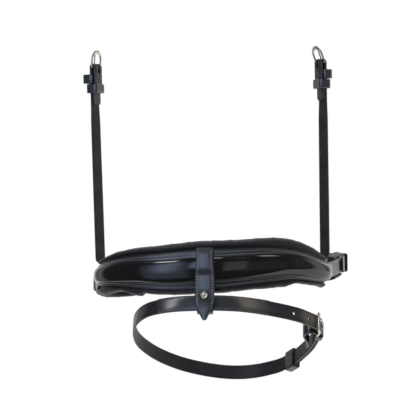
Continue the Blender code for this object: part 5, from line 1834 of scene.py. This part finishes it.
@dataclass(frozen=True)
class HangerSizes:
    """Sizes that both hangers share."""

    width: float = 0.0126
    ply: float = 0.0028
    foot: float = 0.1910
    lean: float = math.radians(0.75)
    growth: tuple = ((-0.150, math.radians(10.0)), (-0.060, math.radians(7.0)), (-0.036, 0.0))
    turn_back: float = 0.0374
    skived: float = 0.0012
    thin_share: float = 0.36
    end_share: float = 0.72
    end_round: float = 0.0028
    ease: float = 0.0214
    tail_deep: float = 0.0255
    tail_lead: float = 0.0012
    tail_twist: float = 0.0072
    tail_inset: float = 0.0034
    tail_gap: float = 0.0004
    foot_gap: float = 0.0006
    blend: float = 0.0035
    bar: float = 0.0008
    arm: float = 0.00095
    half_deep: float = 0.0011
    crown: float = 0.0021
    height: float = 0.0176
    frame_ease: float = 0.00045
    tongue_half: float = 0.0007
    hook_half: float = 0.0010
    hook_wide: float = 0.00125
    slot_half: float = 0.0019
    slot_below: float = 0.0060
    keeper_height: float = 0.0090
    keeper_thick: float = 0.0014
    keeper_top: float = 0.0069
    keeper_tuck: float = 0.0030
    keeper_corner: float = 0.0021
    runner_top: float = 0.0168
    runner_room: float = 0.0020


class Hanger:
    """One cheek hanger in its own axes: x along the width, y outward, z up, from the buckle bar."""

    def __init__(
        self, ring: Ring, side: Side, bar_x: float, twist: float, level: float, tilt: float, room: float
    ):
        """Sets up the hanger.

        Args:
            ring: the noseband's route, which the foot is sewn to.
            side: which hanger it is.
            bar_x: distance of the buckle bar from the middle.
            twist: turn of the strap's face round to the side, in degrees.
            level: height of the bar.
            tilt: lean of the buckle towards the horse, in degrees.
            room: gap under the proud keeper.
        """
        size = self.size = HangerSizes()
        self.ring, self.side, self.room = ring, side.value, room
        self.label = side.name.lower()
        self.half = size.width / 2
        self.fold = size.bar + GAP + size.ply / 2
        self.thin = size.ply * size.thin_share
        self.length = size.foot + level
        turn = Matrix.Rotation(self.side * (math.radians(twist) - math.pi / 2), 3, "Z")
        self.turn = np.array(turn @ Matrix.Rotation(-size.lean, 3, "X"))
        self.buckle_turn = np.array(Matrix.Rotation(math.radians(tilt), 3, "X"))
        self.start = np.array([self.side * bar_x, 0.0, level])

    def world(self, local: np.ndarray) -> np.ndarray:
        """World points of places in the hanger's axes."""
        return np.asarray(local, float) @ self.turn.T + self.start

    def tilted(self, local: np.ndarray) -> np.ndarray:
        """World points of the buckle, which leans a little towards the horse."""
        return self.world(local @ self.buckle_turn.T)

    def widths(self, heights: np.ndarray) -> np.ndarray:
        """World width directions at these heights, with the strap's own twist."""
        turn = self.side * eased(heights, self.size.growth)
        return rows_of(np.cos(turn), np.sin(turn), 0.0) @ self.turn.T

    def tail(self) -> tuple:
        """Centres and width directions of the sewn end, which turns in to lie along the noseband.

        Returns:
            The centres and the directions, in rows.
        """
        size = self.size
        along, outward, _ = self.ring.axes(self.side * HANGER_ARC)
        sewn = self.ring.spot(self.side * HANGER_ARC) - outward * size.tail_inset
        top = self.world((0.0, self.fold, -self.length - size.ply / 2 - size.tail_gap))
        foot = np.array([sewn[0], sewn[1], top[2] - size.tail_deep])
        width = self.widths(-self.length)
        along = along * (-1.0 if width @ along < 0 else 1.0)
        depth = arcs_between(size.tail_deep, 0.0, 0.0009)
        turned = eased(depth, ((0.0, 0.0), (size.tail_lead, 0.0), (size.tail_twist, 1.0)))[:, None]
        centres = top + (foot - top) * np.hstack([turned, turned, depth[:, None] / size.tail_deep])
        return centres, unit(width * (1 - turned) + along * turned)

    def plies(self) -> np.ndarray:
        """The long outer ply, the fold round the bar and the turned-back inner ply.

        Returns:
            Rows of (out, height, half width, half thickness), from the foot up.
        """
        size, thick = self.size, self.size.ply / 2
        height = arcs_between(size.foot_gap - self.length, -size.ply, 0.0016)
        outer = rows_of(self.fold, height, self.half, thick)
        turn = np.linspace(math.pi / 2, -math.pi / 2, 23)
        bend = rows_of(self.fold * np.sin(turn), self.fold * np.cos(turn), self.half, thick)
        height = arcs_between(-size.ply, -size.turn_back, 0.0009)[1:]
        close = self.fold - thick - GAP - self.thin
        out = eased(height, ((0.0, -self.fold), (-size.runner_top, -self.fold), (-size.ease, close)))
        knots = (0.0, thick), (-size.runner_top, self.thin), (-size.turn_back, size.skived / 2)
        thin = eased(height, knots)
        to_end = np.clip((height + size.turn_back) / size.end_round, 0.0, 1.0) ** 0.5
        half = self.half * (size.end_share + (1 - size.end_share) * to_end)
        return np.vstack([outer, bend, rows_of(out, height, half, thin)])

    def strap(self) -> Piece:
        """Sewn end and plies in one strap, baked into world space and put on no body.

        Returns:
            The piece.
        """
        size = self.size
        centres, widths = self.tail()
        sewn = len(centres)
        out, height, halves, thick = self.plies().T
        centres = np.vstack([centres, self.world(rows_of(0.0, out, height))])
        widths = np.vstack([widths, self.widths(np.where(out > 0, height, 0.0))])
        halves = np.concatenate([np.full(sewn, self.half), halves])
        thick = np.concatenate([np.full(sewn, size.ply / 2), thick])
        outward = np.cross(tangents(centres), widths)[sewn + 20]
        skin = strap_skin(centres, widths, halves, thick, PLAIN, bool(outward @ self.turn[:, 1] < 0))
        obj = skin.build(f"cheek_strap_{self.label}", BRIDLE, FLESH)
        reach = self.fold + size.ply
        centre = self.world((0.0, 0.0, (reach - size.slot_below) / 2))
        carve(obj, [cutter(centre, self.turn.T, (size.slot_half, reach, (reach + size.slot_below) / 2))])
        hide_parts(*(f"hanger_{node}_{self.label}" for node in ("strap", "chape", "tail")))
        hinge = self.world((0.0, self.fold, -self.length))
        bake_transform(obj)
        return obj

    def frame(self) -> Piece:
        """Arched buckle frame with its bar in the fold.

        Returns:
            The piece.
        """
        size = self.size
        arm, thin = self.half + size.frame_ease + size.arm, size.arm
        arch = size.height - size.crown - arm
        side = np.array([
            (arm * 0.7, 0.0, size.bar), (arm - thin, 0.0, size.bar),
            (arm - thin * 0.2, thin * 0.25, thin * 0.95), (arm, thin * 1.1, thin), (arm, arch * 0.5, thin),
        ])
        turn = np.linspace(0.0, math.pi, 25)
        slim = thin + (size.crown - thin) * np.sin(turn) ** 2
        bow = rows_of(arm * np.cos(turn), arch + arm * np.sin(turn), slim)
        other = side[::-1] * (-1.0, 1.0, 1.0)
        path = smooth_ring(np.vstack([other[-1], (0.0, 0.0, size.bar), side, bow, other[:-1]]), 4)
        centres = rows_of(path[:, 0], 0.0, path[:, 1])
        deep = np.minimum(path[:, 2], size.half_deep)
        skin = rod_skin(centres, (0.0, 1.0, 0.0), deep, path[:, 2], 24, True)
        skin.rows = self.tilted(skin.rows)
        node = f"hanger_buckle_frame_{self.label}"
        return seat(skin.build(f"arch_frame_{self.label}", SILVER), f"{self.label}_frame", node)

    def tongue(self) -> Piece:
        """Tongue hooked round the bar and resting on the outer face of the crown.

        Returns:
            The piece.
        """
        size, slim = self.size, self.size.tongue_half
        hook = size.bar + GAP + size.hook_half
        rest = size.half_deep + GAP + slim
        top = size.height - size.crown * 0.3
        turn = np.radians(np.linspace(-230.0, 0.0, 14))
        share = np.array([0.15, 0.3, 0.5, 0.7, 0.9, 1.0])
        blade = rows_of(hook + (rest - hook) * share, top * share)
        route = smooth_route(np.vstack([hook * rows_of(np.cos(turn), np.sin(turn)), blade]), 3)
        share = np.linspace(0.0, 1.0, len(route))
        half, broad = size.hook_half, size.hook_wide
        thin = eased(share, ((0.0, half * 0.8), (0.5, half), (0.8, slim), (1.0, slim * 0.65)))
        wide = eased(share, ((0.0, broad), (0.5, broad), (0.8, slim * 1.2), (1.0, slim * 0.8)))
        skin = rod_skin(rows_of(0.0, route[:, 0], route[:, 1]), X_AXIS, wide, thin, 14)
        skin.rows = self.tilted(skin.rows)
        node = f"hanger_buckle_tongue_{self.label}"
        return seat(skin.build(f"arch_tongue_{self.label}", SILVER), f"{self.label}_tongue", node)

    def keepers(self) -> list:
        """Empty keeper standing proud on the outer side, and the loose one below it.

        Returns:
            Both pieces.
        """
        size, thick = self.size, self.size.keeper_thick / 2
        outer = self.fold + size.ply / 2 + thick
        proud = open_path(self.half + GAP + thick, outer + self.room, size.keeper_tuck, size.keeper_corner)
        low, high = -self.fold - self.thin - GAP - thick, outer + size.runner_room
        loose = loop_path(self.half + RUN + thick, low, high, size.keeper_corner)
        pieces = []
        for name, body, node, path, top, closed in (
            ("proud_keeper", "hanger", "hanger_fixed_keeper", proud, size.keeper_top, False),
            ("runner_loop", "runner", "hanger_runner_keeper", loose, size.runner_top, True),
        ):
            skin = keeper_skin(path, size.keeper_height / 2, thick, closed)
            along, out, wide = np.moveaxis(skin.rows, -1, 0)
            skin.rows = self.world(rows_of(wide, out, along - top - size.keeper_height / 2))
            obj = skin.build(f"{name}_{self.label}", KEEPER_LEATHER)
            pieces.append(seat(obj, f"{self.label}_{body}", f"{node}_{self.label}"))
        return pieces

    def build(self) -> list:
        """All pieces of the hanger."""
        return [self.strap(), self.frame(), self.tongue(), *self.keepers()]


# Stage, light and camera


@dataclass(frozen=True)
class Glow:
    """A soft rectangle of light in the reflected room.

    Attributes:
        turn: its azimuth from the front, towards +X, in degrees.
        rise: its elevation in degrees.
        wide: half its width in degrees.
        high: half its height in degrees.
        soft: how far its edges fade, in degrees.
        level: its brightness.
        tint: its colour.
    """

    turn: float
    rise: float
    wide: float
    high: float
    soft: float
    level: float
    tint: tuple = WHITE

    def lit(self, graph: Graph, turn: Socket, rise: Socket) -> Socket:
        """The glow's light: its level, faded by how far off its middle a direction lies each way.

        Args:
            graph: the world's nodes.
            turn: the direction's azimuth in degrees.
            rise: its elevation.

        Returns:
            The light as a colour.
        """
        shares = []
        for angle, middle, half in ((turn, self.turn, self.wide), (rise, self.rise, self.high)):
            off = graph.math("ABSOLUTE", graph.math("SUBTRACT", angle, middle))
            shares.append(graph.mapped(off, half - self.soft, half + self.soft, 1.0, 0.0))
        share = graph.math("MULTIPLY", graph.math("MULTIPLY", *shares), self.level)
        return graph.vector("SCALE", 0, {0: self.tint, "Scale": share})


BLUISH, WARM, GREENISH = (0.82, 1.0, 1.4), (1.12, 1.0, 0.85), (0.9, 1.0, 0.96)
GLOWS = (
    Glow(-34.0, -2.0, 17.0, 29.0, 5.0, 0.34, BLUISH),
    Glow(-33.0, 16.0, 8.0, 19.0, 7.0, 1.05, BLUISH),
    Glow(-43.0, 46.0, 8.0, 3.5, 2.0, 10.0),
    Glow(-58.0, 50.0, 8.0, 5.0, 3.0, 0.7, BLUISH),
    Glow(-3.0, 57.0, 4.0, 2.5, 1.5, 8.0),
    Glow(12.5, 6.0, 7.5, 14.0, 2.0, 0.42, GREENISH),
    Glow(16.0, 42.0, 6.0, 5.0, 3.0, 0.3),
    Glow(-9.5, 18.0, 5.5, 15.0, 4.5, 2.2, BLUISH),
    Glow(46.0, 51.0, 10.0, 8.0, 4.0, 2.4, WARM),
    Glow(36.0, -3.0, 18.0, 14.0, 5.0, 0.10),
    Glow(72.0, 12.0, 13.0, 22.0, 6.0, 0.12),
    Glow(106.0, 0.0, 15.0, 32.0, 9.0, 0.75, WARM),
    Glow(-116.0, 0.0, 8.0, 32.0, 7.0, 0.45, WARM),
)


@dataclass(frozen=True)
class Lamp:
    """A soft rectangular lamp; reflections show the world's glows in its place."""

    name: str
    spot: tuple
    size: tuple
    power: float
    aim: tuple = (0.0, 0.0, -0.2)

    def build(self) -> None:
        """The lamp at its spot, turned to its aim."""
        data = bpy.data.lights.new(self.name, "AREA")
        data.shape, data.energy = "RECTANGLE", self.power
        data.size, data.size_y = self.size
        obj = placed(self.name, data)
        obj.location = self.spot
        obj.rotation_euler = (Vector(self.aim) - Vector(self.spot)).to_track_quat("-Z", "Y").to_euler()
        obj.visible_glossy = False


@dataclass(frozen=True)
class Studio:
    """Pale stage, soft lamps and the photograph's camera.

    Attributes:
        azimuth: how far the camera stands round the object, in degrees.
        roll: the camera's roll, in degrees.
        distance: its distance, in metres.
        across: its place across the view.
        below: its place under the buckle bars.
        sensor: its sensor's width, in millimetres.
        lens: its focal length, in millimetres.
        floor: the floor's height.
        outline: the floor's corners.
        behind: azimuths between which the reflected room turns white behind the object, in degrees.
        dim: level of the unlit room that glossy pieces reflect.
        fill: level of the even light from all round.
        lamps: the lamps.
    """

    azimuth: float = 6.0
    roll: float = 1.35
    distance: float = 2.0
    across: float = -0.0028
    below: float = 0.1467
    sensor: float = 36.0
    lens: float = 36.0 * 2000.0 / 418.0
    floor: float = -0.75
    outline: tuple = (
        (-0.6, -0.25), (-0.1, -0.2), (0.2, -0.3), (0.9, -0.7), (14.0, -0.7), (14.0, 14.0), (-0.6, 14.0),
    )
    behind: tuple = (122.0, 146.0)
    dim: float = 0.07
    fill: float = 0.35
    lamps: tuple = (
        Lamp("key_lamp", (-0.8, -1.1, 1.0), (0.6, 0.6), 20.0),
        Lamp("side_lamp", (1.35, -0.9, 0.25), (0.4, 0.9), 9.0),
        Lamp("top_lamp", (0.0, 0.1, 1.7), (1.6, 1.2), 22.0),
    )

    def camera(self) -> None:
        """The camera at the photograph's view."""
        turn, roll = math.radians(self.azimuth), math.radians(self.roll)
        right = Vector((math.cos(turn), math.sin(turn), 0.0))
        ahead, up = Vector((-math.sin(turn), math.cos(turn), 0.0)), Vector((0.0, 0.0, 1.0))
        eye = right * self.across - up * self.below - ahead * self.distance
        across = right * math.cos(roll) - up * math.sin(roll)
        above = right * math.sin(roll) + up * math.cos(roll)
        data = bpy.data.cameras.new("view")
        data.lens, data.sensor_width, data.clip_end = self.lens, self.sensor, 60.0
        obj = placed("view", data)
        view = Matrix((across, above, -ahead)).transposed().to_4x4()
        view.translation = eye
        obj.matrix_world = view
        bpy.context.scene.camera = obj

    def world(self) -> None:
        """White behind the object; a dim room with soft glows on the camera's side, for reflections alone."""
        graph = Graph("studio", bpy.data.worlds.new("studio"))
        x, y, z = graph.node("ShaderNodeSeparateXYZ", {0: graph.coords("Generated")}).outputs
        turn = graph.math("DEGREES", graph.math("ARCTAN2", x, graph.math("MULTIPLY", y, -1.0)))
        rise = graph.math("DEGREES", graph.math("ARCSINE", z))
        behind = graph.mapped(graph.math("ABSOLUTE", turn), *self.behind, 0.0, 1.0)
        room = graph.mix(behind, (self.dim,) * 3, WHITE)
        for glow in GLOWS:
            room = graph.vector("ADD", 0, {0: room, 1: glow.lit(graph, turn, rise)})
        path = graph.node("ShaderNodeLightPath").outputs
        light = graph.mix(path["Is Glossy Ray"], (self.fill,) * 3, room)
        seen = graph.math("MAXIMUM", path["Is Camera Ray"], path["Is Transmission Ray"])
        graph.feed(graph.tree.nodes["Background"].inputs["Color"], graph.mix(seen, light, WHITE))
        bpy.context.scene.world = graph.owner

    def stage(self) -> None:
        """A wide white floor that keeps the object's shadow and ends in front of the object."""
        mesh = bpy.data.meshes.new("pale_floor")
        mesh.from_pydata([(*corner, self.floor) for corner in self.outline], [], [range(len(self.outline))])
        graph = Graph("pale_floor")
        base = graph.mix(graph.noise(scale=3.0), (0.90, 0.90, 0.90), (0.93, 0.93, 0.93))
        graph.dress(base_color=base, roughness=0.9, specular_ior_level=0.0)
        away = graph.vector("DISTANCE", 1, {0: graph.coords(), 1: (0.0, 0.9, self.floor)})
        path = graph.node("ShaderNodeLightPath").outputs
        seen = graph.math("MAXIMUM", path["Is Camera Ray"], path["Is Glossy Ray"])
        seen = graph.math("MAXIMUM", seen, path["Is Transmission Ray"])
        glow = graph.node("ShaderNodeEmission", {"Color": (*WHITE, 1.0), "Strength": 1.0})
        share = graph.math("MULTIPLY", seen, graph.mapped(away, 0.8, 1.6, 0.55, 1.0))
        mixed = graph.node("ShaderNodeMixShader", {0: share, 1: graph.shader.outputs[0], 2: glow.outputs[0]})
        graph.feed(graph.tree.nodes["Material Output"].inputs[0], mixed.outputs[0])
        mesh.materials.append(graph.owner)
        obj = placed("pale_floor", mesh)

    def build(self) -> None:
        """Stage, lamps, world and camera."""
        self.camera()
        self.world()
        self.stage()
        for lamp in self.lamps:
            lamp.build()
        bpy.context.scene.view_settings.view_transform = "Standard"


def dress_frame_nodes() -> None:
    """Finishes for the nodes that stay as they are."""
    for node, finish in (("panel_filler", FOAM), ("stud_backing", SILVER)):
        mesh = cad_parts[node].data
        mesh.materials.clear()
        mesh.materials.append(material(finish))


def main() -> None:
    """Builds every piece and the studio around them."""
    logging.basicConfig(level=logging.INFO, format="%(name)s: %(message)s")
    ring, flash = NoseRing().build(), FlashStrap()
    nose = Nosepiece(ring)
    for assembly in (
        nose,
        RearClosure(ring, nose.panel_back),
        flash,
        FrontTab(ring, nose, flash),
        Hanger(ring, Side.LEFT, bar_x=0.1140, twist=24.0, level=-0.0018, tilt=8.0, room=0.0062),
        Hanger(ring, Side.RIGHT, bar_x=0.1121, twist=35.0, level=-0.0038, tilt=22.0, room=0.0044),
    ):
        for piece in assembly.build():
            LOG.info("%s: %d faces", piece.name, len(piece.data.polygons))
    dress_frame_nodes()
    Studio().build()


if __name__ == "__main__":
    main()
